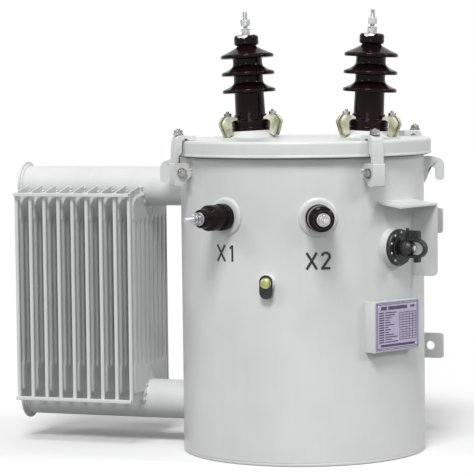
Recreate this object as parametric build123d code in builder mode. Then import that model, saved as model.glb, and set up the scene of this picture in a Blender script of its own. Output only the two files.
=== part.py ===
from build123d import *
import os
from math import cos, radians, sin, sqrt

# A single-phase pole mounted transformer: an oil tank with a clamped lid, two high-voltage bushings
# on the lid, two low-voltage bushings on the front, a plate-fin radiator on the left and a tap
# changer on the right. +Z is up, the origin is the centre of the tank's underside, -Y is the front.
# Angles go round the tank from the front towards +X, in degrees; every length is in millimetres.

# Shared clearances
overrun = 30.0
seat_gap = 0.3
shaft_gap = 0.08

# Tank: a rolled shell on a flat base, closed by a lid with a turned-down rim
tank_d = 540.0
wall_t = 5.0
base_t = 8.0
base_round = 6.0
lid_overhang = 17.0
lid_t = 6.0
lid_rim_h = 35.0
lid_rim_t = 6.0
lid_round = 5.0

# High-voltage bushings: glazed porcelain with three sheds, leaning apart on two raised pads
hv_spacing = 272.5
hv_setback = 58.0
hv_lean = 2.8
hv_pad_d = 92.0
hv_pad_h = 15.0
hv_pad_flare_w = 14.0
hv_flange_d = 88.6
hv_flange_h = 24.0
hv_ledge_w = 7.3
hv_step_h = 13.0
hv_step_w = 4.0
hv_core_h = 49.5
hv_shed_count = 3
hv_shed_d = 120.0
hv_shed_t = 8.0
hv_shed_slope_h = 16.0
hv_shed_pitch = 39.0
hv_neck_d = 42.0
hv_neck_h = 4.0
hv_cap_d = 56.0
hv_cap_h = 23.0
hv_washer_d = 30.0
hv_washer_t = 5.0
hv_nut_d = 22.0
hv_nut_h = 9.0
hv_nut_count = 2
hv_stud_d = 11.0
hv_stud_end_l = 30.0

# Cast clamps that hold each porcelain flange down, three to a bushing, with a stud and nut each
hv_clamp_angles = {-1: (47.0, 167.0, 287.0), 1: (13.0, 133.0, 253.0)}
hv_clamp_w = 25.0
hv_clamp_t = 10.0
hv_clamp_toe_t = 6.0
hv_clamp_gap = 3.0
hv_clamp_foot_off = 7.0
hv_clamp_top_w = 17.0
hv_clamp_heel_w = 25.0
hv_clamp_heel_drop = 7.0
hv_clamp_foot_t = 10.0
hv_clamp_stud_d = 8.0
hv_clamp_stud_end_l = 5.0
hv_clamp_nut_d = 15.0
hv_clamp_nut_h = 7.0

# Lid clamps: a welded ear on the wall, a hooked arm over the rim, a pivot bolt through the ear and a
# draw bolt that stands on the ear, goes up through the arm and pulls it down with its nut
lid_clamp_angles = (-136.0, -48.5, 48.5, 136.0)
ear_drop = 13.5
ear_h = 49.0
ear_edge_w = 2.0
ear_w = 30.0
ear_cut_h = 22.0
ear_foot_t = 17.0
arm_t = 20.0
arm_w = 28.0
arm_lip_l = 30.0
arm_lip_t = 12.0
arm_rim_gap = 2.0
arm_taper = 5.0
arm_foot_t = 9.0
arm_foot_cut_h = 14.0
arm_round = 8.0
pivot_drop = 21.0
pivot_d = 10.0
pivot_head_d = 22.0
pivot_head_h = 8.0
draw_in = 6.0
draw_d = 8.0
draw_nut_d = 20.0
draw_nut_h = 8.0
draw_end_l = 4.0
draw_washer_d = 22.0
draw_washer_t = 3.0

# Low-voltage bushings: ribbed porcelain on welded collars, with a threaded stud and a nut
lv_angles = (-20.5, 24.0)
lv_drop = 155.0
lv_collar_d = 84.0
lv_collar_l = 4.0
lv_ring_d = 58.0
lv_ring_l = 19.0
lv_groove_d = 46.0
lv_groove_l = 12.0
lv_bell_d = 56.0
lv_bell_l = 28.0
lv_tip_d = 40.0
lv_tip_l = 24.0
lv_nut_d = 28.0
lv_nut_l = 20.0
lv_stud_d = 11.0
lv_stud_end_l = 28.0

# Earth terminal: a welded boss, an oval plate and a bolt, in the middle of the front
earth_angle = 0.9
earth_drop = 138.0
earth_boss_d = 32.0
earth_boss_l = 12.0
earth_plate_w = 29.0
earth_plate_h = 51.0
earth_plate_t = 4.0
earth_bolt_rise = 8.5
earth_bolt_d = 24.0
earth_bolt_l = 10.0

# Tap changer: a boss, a dial and a bow handle that turns on its shaft, under a sheet hood
tap_angle = 64.0
tap_drop = 225.5
tap_boss_d = 86.0
tap_boss_l = 10.0
tap_dial_d = 79.0
tap_dial_t = 9.0
tap_shaft_d = 12.0
tap_neck_d = 30.0
tap_neck_l = 12.0
tap_hub_d = 40.0
tap_hub_l = 12.0
tap_cone_d = 33.0
tap_cone_tip_d = 18.0
tap_cone_l = 11.0
tap_screw_d = 11.0
tap_screw_l = 3.0
tap_bow_rise = 1.0
tap_bow_l = 58.0
tap_bow_t = 7.0
tap_bow_w = 13.0
tap_bow_straight_l = 32.0
tap_pointer_h = 23.0
tap_lug_h = 9.0
tap_lug_l = 14.0
tap_tab_l = 33.0
tap_tab_h = 17.0
hood_rise = 90.0
hood_pitch = 9.0
hood_t = 4.0
hood_out = 58.0
hood_wall_turn = 11.0
hood_left_turn = 7.7
hood_right_turn = 16.0
hood_side_h = 152.5
hood_round = 15.0

# Rating plate: a bent sheet holder below the tap changer with a thin plate on its face
plate_turn = 3.0
plate_drop = 166.0
holder_w = 138.0
holder_h = 110.0
holder_off = 19.0
holder_t = 2.5
plate_margin = 2.0
plate_t = 1.2

# Lifting hooks: flat plates welded on edge to the wall, with a throat open downwards
hook_angles = {"left": -72.0, "right": 108.0}
hook_t = 10.0
hook_drop = 8.0
hook_h = 54.0
hook_root_w = 12.0
hook_throat_w = 14.0
hook_bill_w = 20.0
hook_crown_h = 25.0
hook_root_extra_h = 6.0

# Pole lugs: flat plates welded to the back of the wall, two a side, with one hole in each
lug_h = 57.0
lug_t = 10.0
lug_round = 6.0
lug_hole_d = 20.0
lug_hole_span = 486.0
lug_hole_off = 61.6
lug_end = 29.5
lug_spacing = 286.0
lug_drop = 188.0

# Radiator: two header pipes on the left that carry a row of plate fins, tied at their corners.
# The distance between the headers sets the height of the tank.
header_d = 89.0
header_t = 4.0
header_low_z = 98.0
header_spacing = 486.5
header_top_drop = 102.5
header_tail = 19.0
header_cap_edge_w = 10.0
header_cap_t = 5.0
fin_count = 9
fin_standoff = 100.0
fin_pitch = 34.2
fin_depth = 238.0
fin_corner_drop = 11.5
fin_top_rise = 2.5
fin_low_rise = 3.0
fin_seam_t = 3.0
fin_seam_w = 9.0
fin_end_seam_h = 20.0
fin_body_t = 10.0
fin_body_cut = 9.0
tie_bar_t = 8.0
tie_bar_over = 3.0

# Places that follow from the sizes above
header_high_z = header_low_z + header_spacing
tank_r = tank_d / 2
tank_h = header_high_z + header_top_drop
lid_r = tank_r + lid_overhang
lid_top = tank_h + lid_t
rim_low = lid_top - lid_rim_h
lv_z = tank_h - lv_drop
earth_z = lv_z - earth_drop
tap_z = tank_h - tap_drop
hood_z = tap_z + hood_rise
plate_z = tap_z - plate_drop
hv_step_d = hv_flange_d - hv_ledge_w * 2
hv_core_d = hv_step_d - hv_step_w * 2
hv_shed_z = hv_flange_h + hv_step_h + hv_core_h
hv_shed_end = hv_shed_z + (hv_shed_count - 1) * hv_shed_pitch + hv_shed_t + hv_shed_slope_h
hv_h = hv_shed_end + hv_neck_h + hv_cap_h


def around(angle, radius):
    """Point on a level plane at an angle round the tank and a radius."""
    turn = radians(angle)
    return (radius * sin(turn), -radius * cos(turn))


def wall_plane(angle, radius, height):
    """Plane across the radius at an angle round the tank: Z outwards, X to the right, Y up."""
    turn = radians(angle)
    out = Vector(sin(turn), -cos(turn), 0)
    return Plane(
        origin=(radius * out.X, radius * out.Y, height),
        x_dir=(cos(turn), sin(turn), 0),
        z_dir=out,
    )


def radial_plane(angle, height=0):
    """Upright plane through the tank's axis: X is the radius outwards, Y goes up from a height."""
    turn = radians(angle)
    return Plane(
        origin=(0, 0, height),
        x_dir=(sin(turn), -cos(turn), 0),
        z_dir=(-cos(turn), -sin(turn), 0),
    )


def section_plane(plane):
    """Plane along a plane's own Z axis: X stays, Y is the distance along that axis."""
    return Plane(origin=plane.origin, x_dir=plane.x_dir, z_dir=-plane.y_dir)


def lean_plane(side, angle=0):
    """Plane at a high-voltage bushing's foot on the lid: Z leans outwards with the bushing, and X
    points away from the tank's middle, turned about Z by an angle towards the front."""
    lean = radians(hv_lean)
    turn = radians(angle)
    outwards = Vector(side * cos(lean), 0, -sin(lean))
    along = outwards * cos(turn) + Vector(0, -sin(turn), 0)
    return Plane(
        origin=(side * hv_spacing / 2, hv_setback, lid_top),
        x_dir=along,
        z_dir=(side * sin(lean), 0, cos(lean)),
    )


def cut_tank():
    """Take the tank's round outside away, so that a welded piece ends on the wall."""
    with BuildSketch(Plane.XY.offset(-overrun)) as tank_round:
        Circle(tank_r)
    extrude(tank_round.sketch, amount=lid_top + overrun, mode=Mode.SUBTRACT)


def spin(plane, outline):
    """Turn an outline of (radius, distance) points about a plane's own Z axis."""
    with BuildSketch(section_plane(plane)) as section:
        with BuildLine():
            Polyline(*outline, close=True)
        make_face()
    revolve(section.sketch, axis=Axis(plane.origin, plane.z_dir))


def write(builder, name):
    """Label a finished piece and write it to its own file."""
    builder.part.label = name
    export_step(builder.part, f"parts/{name}.step")


os.makedirs("parts", exist_ok=True)

# Tank base
with BuildPart() as tank_base:
    with BuildSketch(Plane.XY):
        Circle(tank_r)
    extrude(amount=base_t)
    fillet(tank_base.edges().sort_by(Axis.Z)[0], radius=min(base_round, base_t - seat_gap))
write(tank_base, "tank_base")

# Tank wall
with BuildPart() as tank_wall:
    with BuildSketch(Plane.XY.offset(base_t)):
        Circle(tank_r)
        Circle(tank_r - wall_t, mode=Mode.SUBTRACT)
    extrude(amount=tank_h - base_t)
write(tank_wall, "tank_wall")

# Tank lid
with BuildPart() as tank_lid:
    with BuildSketch(Plane.XY.offset(rim_low)):
        Circle(lid_r)
    extrude(amount=lid_rim_h)
    with BuildSketch(Plane.XY.offset(rim_low)):
        Circle(lid_r - lid_rim_t)
    extrude(amount=lid_rim_h - lid_t, mode=Mode.SUBTRACT)
    lid_edge = tank_lid.faces().sort_by(Axis.Z)[-1].edges()
    fillet(lid_edge, radius=min(lid_round, lid_t - seat_gap, lid_rim_t - seat_gap))
write(tank_lid, "tank_lid")

# Flared pads under the high-voltage bushings; the flare runs on below the lid's top and ends there
pad_r = hv_pad_d / 2
pad_foot_r = pad_r + hv_pad_flare_w * (hv_pad_h + overrun) / hv_pad_h
with BuildPart() as hv_pads:
    for side in (-1, 1):
        spin(lean_plane(side), [(0, -overrun), (pad_foot_r, -overrun), (pad_r, hv_pad_h), (0, hv_pad_h)])
    split(bisect_by=Plane.XY.offset(lid_top), keep=Keep.TOP)
write(hv_pads, "hv_pads")

# High-voltage bushings
hv_outline = [
    (0, 0),
    (hv_flange_d / 2, 0),
    (hv_flange_d / 2, hv_flange_h),
    (hv_step_d / 2, hv_flange_h),
    (hv_step_d / 2, hv_flange_h + hv_step_h),
    (hv_core_d / 2, hv_flange_h + hv_step_h),
]
for shed in range(hv_shed_count):
    under = hv_shed_z + shed * hv_shed_pitch
    hv_outline += [
        (hv_core_d / 2, under),
        (hv_shed_d / 2, under),
        (hv_shed_d / 2, under + hv_shed_t),
        (hv_core_d / 2, under + hv_shed_t + hv_shed_slope_h),
    ]
hv_outline += [
    (hv_neck_d / 2, hv_shed_end),
    (hv_neck_d / 2, hv_shed_end + hv_neck_h),
    (hv_cap_d / 2, hv_shed_end + hv_neck_h),
    (hv_cap_d / 2, hv_h),
    (0, hv_h),
]
for side, name in ((-1, "hv_bushing_left"), (1, "hv_bushing_right")):
    with BuildPart() as hv_bushing:
        spin(lean_plane(side).offset(hv_pad_h), hv_outline)
    write(hv_bushing, name)

# Terminals on top of the high-voltage bushings: washer, two nuts and a stud
with BuildPart() as hv_terminals:
    for side in (-1, 1):
        cap_top = lean_plane(side).offset(hv_pad_h + hv_h)
        with BuildSketch(cap_top):
            Circle(hv_washer_d / 2)
        extrude(amount=hv_washer_t)
        with BuildSketch(cap_top.offset(hv_washer_t)):
            RegularPolygon(hv_nut_d / 2, 6)
        extrude(amount=hv_nut_h * hv_nut_count)
        with BuildSketch(cap_top):
            Circle(hv_stud_d / 2)
        extrude(amount=hv_washer_t + hv_nut_h * hv_nut_count + hv_stud_end_l)
write(hv_terminals, "hv_terminals")

# Clamps on the porcelain flanges: toe on the flange, foot on the pad's flare, hole for the stud
clamp_seat = hv_pad_h + hv_flange_h
clamp_top = clamp_seat + hv_clamp_t
toe_r = hv_step_d / 2 + hv_clamp_gap
bend_r = hv_flange_d / 2 + hv_clamp_gap
foot_r = pad_r + hv_clamp_foot_off
top_r = foot_r + hv_clamp_top_w
stud_r = (bend_r + top_r) / 2
knee = (hv_pad_h + clamp_seat) / 2
clamp_outline = [
    (toe_r, clamp_seat),
    (toe_r, clamp_seat + hv_clamp_toe_t),
    (bend_r, clamp_top),
    (top_r, clamp_top),
    (foot_r + hv_clamp_heel_w, clamp_seat - hv_clamp_heel_drop),
    (foot_r + hv_clamp_foot_t, 0),
    (foot_r + hv_clamp_foot_t, -overrun),
    (foot_r, -overrun),
    (foot_r, knee),
    (bend_r, clamp_seat),
]
for side, name in ((-1, "hv_clamps_left"), (1, "hv_clamps_right")):
    with BuildPart() as hv_clamps:
        for angle in hv_clamp_angles[side]:
            foot = lean_plane(side, angle)
            with BuildSketch(section_plane(foot)):
                with BuildLine():
                    Polyline(*clamp_outline, close=True)
                make_face()
            extrude(amount=hv_clamp_w / 2, both=True)
            with BuildSketch(foot.offset(-overrun)):
                with Locations((stud_r, 0)):
                    Circle(hv_clamp_stud_d / 2 + seat_gap)
            extrude(amount=clamp_top + overrun * 2, mode=Mode.SUBTRACT)
        split(bisect_by=Plane.XY.offset(lid_top), keep=Keep.TOP)
        add(hv_pads.part, mode=Mode.SUBTRACT)
    write(hv_clamps, name)

# Studs that stand on the pads' flares and nuts that press the clamps down
with BuildPart() as hv_clamp_studs:
    for side in (-1, 1):
        for angle in hv_clamp_angles[side]:
            foot = lean_plane(side, angle)
            with BuildSketch(foot.offset(-overrun)):
                with Locations((stud_r, 0)):
                    Circle(hv_clamp_stud_d / 2)
            extrude(amount=overrun + clamp_top + hv_clamp_nut_h + hv_clamp_stud_end_l)
            with BuildSketch(foot.offset(clamp_top)):
                with Locations((stud_r, 0)):
                    RegularPolygon(hv_clamp_nut_d / 2, 6)
            extrude(amount=hv_clamp_nut_h)
    split(bisect_by=Plane.XY.offset(lid_top), keep=Keep.TOP)
    add(hv_pads.part, mode=Mode.SUBTRACT)
write(hv_clamp_studs, "hv_clamp_studs")

# Ears of the lid clamps, welded to the wall under the rim
arm_in = lid_r + arm_rim_gap
arm_out = arm_in + arm_t
ear_out = arm_out + ear_edge_w
ear_top = rim_low - ear_drop
ear_low = ear_top - ear_h
pivot_r = ear_out - ear_foot_t
pivot_z = ear_top - pivot_drop
with BuildPart() as lid_clamp_ears:
    for angle in lid_clamp_angles:
        with BuildSketch(radial_plane(angle)):
            with BuildLine():
                Polyline(
                    (tank_r - overrun, ear_low + ear_cut_h),
                    (tank_r, ear_low + ear_cut_h),
                    (ear_out - ear_foot_t, ear_low),
                    (ear_out, ear_low),
                    (ear_out, ear_top),
                    (tank_r - overrun, ear_top),
                    close=True,
                )
            make_face()
            with Locations((pivot_r, pivot_z)):
                Circle(pivot_d / 2 + seat_gap, mode=Mode.SUBTRACT)
        extrude(amount=ear_w / 2, both=True)
    cut_tank()
write(lid_clamp_ears, "lid_clamp_ears")

# Pivot bolts through the ears, with a head at each end
with BuildPart() as lid_clamp_pivots:
    for angle in lid_clamp_angles:
        ear_plane = radial_plane(angle)
        with BuildSketch(ear_plane):
            with Locations((pivot_r, pivot_z)):
                Circle(pivot_d / 2)
        extrude(amount=ear_w / 2, both=True)
        with BuildSketch(ear_plane.offset(ear_w / 2), ear_plane.offset(-ear_w / 2 - pivot_head_h)):
            with Locations((pivot_r, pivot_z)):
                RegularPolygon(pivot_head_d / 2, 6)
        extrude(amount=pivot_head_h)
write(lid_clamp_pivots, "lid_clamp_pivots")

# Hooked arms that stand on the ears and reach over the rim, bored from top to foot
lip_in = arm_in - arm_lip_l
lip_top = lid_top + arm_lip_t
draw_r = arm_in + draw_in
with BuildPart() as lid_clamp_arms:
    for angle in lid_clamp_angles:
        with BuildSketch(radial_plane(angle)) as arm_section:
            with BuildLine():
                Polyline(
                    (arm_out - arm_foot_t, ear_top),
                    (arm_out, ear_top),
                    (arm_out - arm_taper, lip_top),
                    (lip_in, lip_top),
                    (lip_in, lid_top),
                    (arm_in, lid_top),
                    (arm_in, ear_top + arm_foot_cut_h),
                    close=True,
                )
            make_face()
            shoulder = arm_section.vertices().sort_by(lambda v: v.X + v.Y)[-1]
            fillet(shoulder, radius=min(arm_round, arm_lip_t - seat_gap))
        extrude(amount=arm_w / 2, both=True)
        with BuildSketch(Plane.XY.offset(ear_top)):
            with PolarLocations(draw_r, 1, start_angle=angle - 90):
                Circle(draw_d / 2 + seat_gap)
        extrude(amount=lip_top - ear_top + overrun, mode=Mode.SUBTRACT)
write(lid_clamp_arms, "lid_clamp_arms")

# Draw bolts from the ears up through the arms, with washer and nut
with BuildPart() as lid_clamp_bolts:
    for angle in lid_clamp_angles:
        with BuildSketch(Plane.XY.offset(ear_top)):
            with PolarLocations(draw_r, 1, start_angle=angle - 90):
                Circle(draw_d / 2)
        extrude(amount=lip_top - ear_top + draw_washer_t + draw_nut_h + draw_end_l)
        with BuildSketch(Plane.XY.offset(lip_top)):
            with PolarLocations(draw_r, 1, start_angle=angle - 90):
                Circle(draw_washer_d / 2)
        extrude(amount=draw_washer_t)
        with BuildSketch(Plane.XY.offset(lip_top + draw_washer_t)):
            with PolarLocations(draw_r, 1, start_angle=angle - 90):
                RegularPolygon(draw_nut_d / 2, 6)
        extrude(amount=draw_nut_h)
write(lid_clamp_bolts, "lid_clamp_bolts")

# Collars of the low-voltage bushings
with BuildPart() as lv_collars:
    for angle in lv_angles:
        with BuildSketch(wall_plane(angle, tank_r - overrun, lv_z)):
            Circle(lv_collar_d / 2)
        extrude(amount=overrun + lv_collar_l)
    cut_tank()
write(lv_collars, "lv_collars")

# Low-voltage bushings: ring, groove, bell and tip
lv_groove_x = lv_ring_l + lv_groove_l
lv_tip_x = lv_groove_x + lv_bell_l
lv_l = lv_tip_x + lv_tip_l
lv_outline = [
    (0, 0),
    (lv_ring_d / 2, 0),
    (lv_ring_d / 2, lv_ring_l),
    (lv_groove_d / 2, lv_ring_l),
    (lv_groove_d / 2, lv_groove_x),
    (lv_bell_d / 2, lv_groove_x),
    (lv_bell_d / 2, lv_tip_x),
    (lv_tip_d / 2, lv_tip_x),
    (lv_tip_d / 2, lv_l),
    (0, lv_l),
]
for number, angle in enumerate(lv_angles, start=1):
    with BuildPart() as lv_bushing:
        spin(wall_plane(angle, tank_r + lv_collar_l, lv_z), lv_outline)
    write(lv_bushing, f"lv_bushing_{number}")

# Terminals of the low-voltage bushings: nut and stud
with BuildPart() as lv_terminals:
    for angle in lv_angles:
        tip_plane = wall_plane(angle, tank_r + lv_collar_l + lv_l, lv_z)
        with BuildSketch(tip_plane):
            RegularPolygon(lv_nut_d / 2, 6)
        extrude(amount=lv_nut_l)
        with BuildSketch(tip_plane):
            Circle(lv_stud_d / 2)
        extrude(amount=lv_nut_l + lv_stud_end_l)
write(lv_terminals, "lv_terminals")

# Earth terminal
with BuildPart() as earth_boss:
    with BuildSketch(wall_plane(earth_angle, tank_r - overrun, earth_z)):
        Circle(earth_boss_d / 2)
    extrude(amount=overrun + earth_boss_l)
    cut_tank()
write(earth_boss, "earth_boss")

earth_face = wall_plane(earth_angle, tank_r + earth_boss_l, earth_z)
with BuildPart() as earth_plate:
    with BuildSketch(earth_face):
        with Locations((0, -earth_bolt_rise)):
            SlotOverall(earth_plate_h, earth_plate_w, rotation=90)
    extrude(amount=earth_plate_t)
write(earth_plate, "earth_plate")

with BuildPart() as earth_bolt:
    with BuildSketch(earth_face.offset(earth_plate_t)):
        RegularPolygon(earth_bolt_d / 2, 6)
    extrude(amount=earth_bolt_l)
write(earth_bolt, "earth_bolt")

# Tap changer boss
with BuildPart() as tap_boss:
    with BuildSketch(wall_plane(tap_angle, tank_r - overrun, tap_z)):
        Circle(tap_boss_d / 2)
    extrude(amount=overrun + tap_boss_l)
    cut_tank()
write(tap_boss, "tap_boss")

# Tap changer dial with the bore for the shaft
dial_back = tank_r + tap_boss_l
dial_face = dial_back + tap_dial_t
with BuildPart() as tap_dial:
    with BuildSketch(wall_plane(tap_angle, dial_back, tap_z)):
        Circle(tap_dial_d / 2)
        Circle(tap_shaft_d / 2 + shaft_gap, mode=Mode.SUBTRACT)
    extrude(amount=tap_dial_t)
write(tap_dial, "tap_dial")

# Tap changer handle: shaft, neck, hub and cone, with a bow, a pointer, a lug below and a tab above
hub_x = tap_neck_l
cone_x = hub_x + tap_hub_l
cone_end = cone_x + tap_cone_l
handle_outline = [
    (0, -tap_dial_t),
    (tap_shaft_d / 2, -tap_dial_t),
    (tap_shaft_d / 2, seat_gap),
    (tap_neck_d / 2, seat_gap),
    (tap_neck_d / 2, hub_x),
    (tap_hub_d / 2, hub_x),
    (tap_hub_d / 2, cone_x),
    (tap_cone_d / 2, cone_x),
    (tap_cone_tip_d / 2, cone_end),
    (0, cone_end),
]
bow_root = dial_face + hub_x
bow_bend = bow_root + tap_bow_straight_l
bow_out = dial_face + hub_x + tap_bow_l
half_bow = tap_hub_d / 2 + tap_bow_rise
bow_gap_top = half_bow - tap_bow_t
bow_gap_low = -bow_gap_top
with BuildPart() as tap_handle:
    spin(wall_plane(tap_angle, dial_face, tap_z), handle_outline)
    with BuildSketch(radial_plane(tap_angle, tap_z)):
        with BuildLine():
            upper_leg = Line((bow_root, half_bow), (bow_bend, half_bow))
            nose = ThreePointArc(upper_leg @ 1, (bow_out, 0), (bow_bend, -half_bow))
            lower_leg = Line(nose @ 1, (bow_root, -half_bow))
            lower_end = Line(lower_leg @ 1, (bow_root, bow_gap_low))
            inner_low = Line(lower_end @ 1, (bow_bend, bow_gap_low))
            inner_nose = ThreePointArc(inner_low @ 1, (bow_out - tap_bow_t, 0), (bow_bend, bow_gap_top))
            inner_top = Line(inner_nose @ 1, (bow_root, bow_gap_top))
            Line(inner_top @ 1, upper_leg @ 0)
        make_face()
        with BuildLine():
            Polyline(
                (bow_root, bow_gap_top),
                (bow_root + tap_hub_l, bow_gap_top),
                (bow_root + tap_hub_l / 2, tap_hub_d / 2 + tap_pointer_h),
                close=True,
            )
        make_face()
        with Locations((bow_bend, -half_bow)):
            Rectangle(tap_lug_l, tap_lug_h * 2)
        with Locations((bow_bend + (tap_lug_l - tap_tab_l) / 2, half_bow + (tap_tab_h - tap_bow_t) / 2)):
            Rectangle(tap_tab_l, tap_tab_h + tap_bow_t)
        with Locations((bow_root + tap_hub_l / 2, 0)):
            Rectangle(tap_hub_l, half_bow * 2)
    extrude(amount=tap_bow_w / 2, both=True)
write(tap_handle, "tap_handle")

# Bright screw in the tip of the handle's cone
with BuildPart() as tap_screw:
    with BuildSketch(wall_plane(tap_angle, dial_face + cone_end, tap_z)):
        Circle(tap_screw_d / 2)
    extrude(amount=tap_screw_l)
write(tap_screw, "tap_screw")

# Hood over the tap changer: a roof that falls outwards and a side plate, both welded to the wall
hood_r = tank_r + hood_out
hood_right_angle = tap_angle + hood_right_turn
hood_edge = wall_plane(tap_angle, hood_r, hood_z)
hood_fall = radians(hood_pitch)
roof_plane = Plane(
    origin=hood_edge.origin,
    x_dir=hood_edge.x_dir,
    z_dir=hood_edge.z_dir * sin(hood_fall) + hood_edge.y_dir * cos(hood_fall),
)
with BuildPart() as tap_hood_top:
    with BuildSketch(Plane.XY.offset(hood_z - hood_out)):
        with BuildLine():
            Polyline(
                around(tap_angle - hood_wall_turn, tank_r - overrun),
                around(tap_angle - hood_wall_turn, tank_r),
                around(tap_angle - hood_left_turn, hood_r),
                around(hood_right_angle, hood_r),
                around(hood_right_angle, tank_r - overrun),
                close=True,
            )
        make_face()
    extrude(amount=hood_out * 2)
    split(bisect_by=roof_plane, keep=Keep.BOTTOM)
    split(bisect_by=roof_plane.offset(-hood_t), keep=Keep.TOP)
    cut_tank()
write(tap_hood_top, "tap_hood_top")

with BuildPart() as tap_hood_side:
    with BuildSketch(radial_plane(hood_right_angle, hood_z - hood_t)) as side_section:
        with BuildLine():
            Polyline(
                (tank_r - overrun, hood_out),
                (tank_r - overrun, -hood_side_h),
                (hood_r, -hood_side_h),
                (hood_r, hood_out),
                close=True,
            )
        make_face()
        fillet(side_section.vertices().sort_by(Axis.Y)[:2].sort_by(Axis.X)[-1], radius=hood_round)
    extrude(amount=hood_t)
    split(bisect_by=roof_plane.offset(-hood_t), keep=Keep.BOTTOM)
    cut_tank()
write(tap_hood_side, "tap_hood_side")

# Rating plate holder: a shallow bent sheet box, open towards the wall
holder_face = tank_r + holder_off
plate_angle = tap_angle - plate_turn
with BuildPart() as nameplate_holder:
    with BuildSketch(wall_plane(plate_angle, tank_r - overrun, plate_z)):
        Rectangle(holder_w, holder_h)
    extrude(amount=overrun + holder_off)
    with BuildSketch(wall_plane(plate_angle, tank_r - overrun, plate_z)):
        Rectangle(holder_w - holder_t * 2, holder_h + overrun)
    extrude(amount=overrun + holder_off - holder_t, mode=Mode.SUBTRACT)
    cut_tank()
write(nameplate_holder, "nameplate_holder")

with BuildPart() as nameplate:
    with BuildSketch(wall_plane(plate_angle, holder_face, plate_z)):
        Rectangle(holder_w - plate_margin * 2, holder_h - plate_margin * 2)
    extrude(amount=plate_t)
write(nameplate, "nameplate")

# Lifting hooks
root_r = tank_r + hook_root_w
bill_r = root_r + hook_throat_w
hook_out = bill_r + hook_bill_w
hook_top = rim_low - hook_drop
hook_low = hook_top - hook_h
throat_top = hook_top - hook_crown_h
throat_mid = (bill_r + root_r) / 2
throat_side = (throat_top + hook_low) / 2
for side, angle in hook_angles.items():
    with BuildPart() as lifting_hook:
        with BuildSketch(radial_plane(angle)):
            with BuildLine():
                root = Line(
                    (tank_r, hook_low - hook_root_extra_h), (tank_r - overrun, hook_low - hook_root_extra_h)
                )
                back = Line(root @ 1, (tank_r - overrun, hook_top))
                crown = Line(back @ 1, (throat_mid, hook_top))
                shoulder = TangentArc(crown @ 1, (hook_out, throat_side), tangent=crown % 1)
                bill = Line(shoulder @ 1, (hook_out, hook_low + hook_bill_w / 2))
                tip = ThreePointArc(
                    bill @ 1,
                    (hook_out - hook_bill_w / 2, hook_low),
                    (bill_r, hook_low + hook_bill_w / 2),
                )
                throat = ThreePointArc(tip @ 1, (throat_mid, throat_top), (root_r, throat_side))
                Line(throat @ 1, root @ 0)
            make_face()
        extrude(amount=hook_t / 2, both=True)
        cut_tank()
    write(lifting_hook, f"lifting_hook_{side}")

# Pole lugs on the back, set where their holes stand clear of the wall
lug_wall_x = lug_hole_span / 2 - lug_hole_off
lug_y = sqrt(tank_r**2 - lug_wall_x**2)
lug_span = lug_hole_span + lug_end * 2
lug_high_z = tank_h - lug_drop
lug_plane = Plane(origin=(0, lug_y, 0), x_dir=(1, 0, 0), z_dir=(0, -1, 0))
for name, height in (("pole_lugs_upper", lug_high_z), ("pole_lugs_lower", lug_high_z - lug_spacing)):
    with BuildPart() as pole_lugs:
        with BuildSketch(lug_plane):
            with Locations((0, height)):
                RectangleRounded(lug_span, lug_h, lug_round)
            with Locations((-lug_hole_span / 2, height), (lug_hole_span / 2, height)):
                Circle(lug_hole_d / 2, mode=Mode.SUBTRACT)
        extrude(amount=lug_t / 2, both=True)
        cut_tank()
    write(pole_lugs, name)

# Radiator header pipes, from the wall out past the last fin
first_fin_x = -tank_r - fin_standoff
last_fin_x = first_fin_x - (fin_count - 1) * fin_pitch
header_end_x = last_fin_x - header_tail
for name, height in (("header_upper", header_high_z), ("header_lower", header_low_z)):
    with BuildPart() as header:
        with BuildSketch(Plane.YZ.offset(header_end_x)):
            with Locations((0, height)):
                Circle(header_d / 2)
                Circle(header_d / 2 - header_t, mode=Mode.SUBTRACT)
        extrude(amount=-header_end_x - tank_r / 2)
        cut_tank()
    write(header, name)

# Round caps that close the far ends of the headers
with BuildPart() as header_caps:
    with BuildSketch(Plane.YZ.offset(header_end_x - header_cap_t)):
        with Locations((0, header_low_z), (0, header_high_z)):
            Circle(header_d / 2 + header_cap_edge_w)
    extrude(amount=header_cap_t)
write(header_caps, "header_caps")

# Plate fins: a flat welded seam all round and a pressed hollow body, notched over the headers
fin_low = header_low_z + fin_low_rise
fin_corner_high = header_high_z - fin_corner_drop
fin_top = header_high_z + fin_top_rise
notch_r = header_d / 2 + seat_gap
half_depth = fin_depth / 2
body_depth = half_depth - fin_seam_w
for number in range(1, fin_count + 1):
    fin_x = first_fin_x - (number - 1) * fin_pitch
    with BuildPart() as radiator_fin:
        with BuildSketch(Plane.YZ.offset(fin_x)):
            with BuildLine():
                Polyline(
                    (-half_depth, fin_low),
                    (half_depth, fin_low),
                    (half_depth, fin_corner_high),
                    (notch_r, fin_top),
                    (-notch_r, fin_top),
                    (-half_depth, fin_corner_high),
                    close=True,
                )
            make_face()
        extrude(amount=fin_seam_t / 2, both=True)
        with BuildSketch(Plane.YZ.offset(fin_x)) as body_section:
            with BuildLine():
                Polyline(
                    (-body_depth, fin_low + fin_end_seam_h),
                    (body_depth, fin_low + fin_end_seam_h),
                    (body_depth, fin_corner_high - fin_end_seam_h),
                    (notch_r, fin_top - fin_end_seam_h),
                    (-notch_r, fin_top - fin_end_seam_h),
                    (-body_depth, fin_corner_high - fin_end_seam_h),
                    close=True,
                )
            make_face()
            body_corners = body_section.vertices().group_by(Axis.X)
            chamfer(body_corners[0] + body_corners[-1], length=fin_body_cut)
        extrude(amount=fin_body_t / 2, both=True)
        with BuildSketch(Plane.YZ.offset(fin_x)):
            with Locations((0, header_low_z), (0, header_high_z)):
                Circle(notch_r)
        extrude(amount=fin_body_t, both=True, mode=Mode.SUBTRACT)
    write(radiator_fin, f"radiator_fin_{number}")

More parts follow.
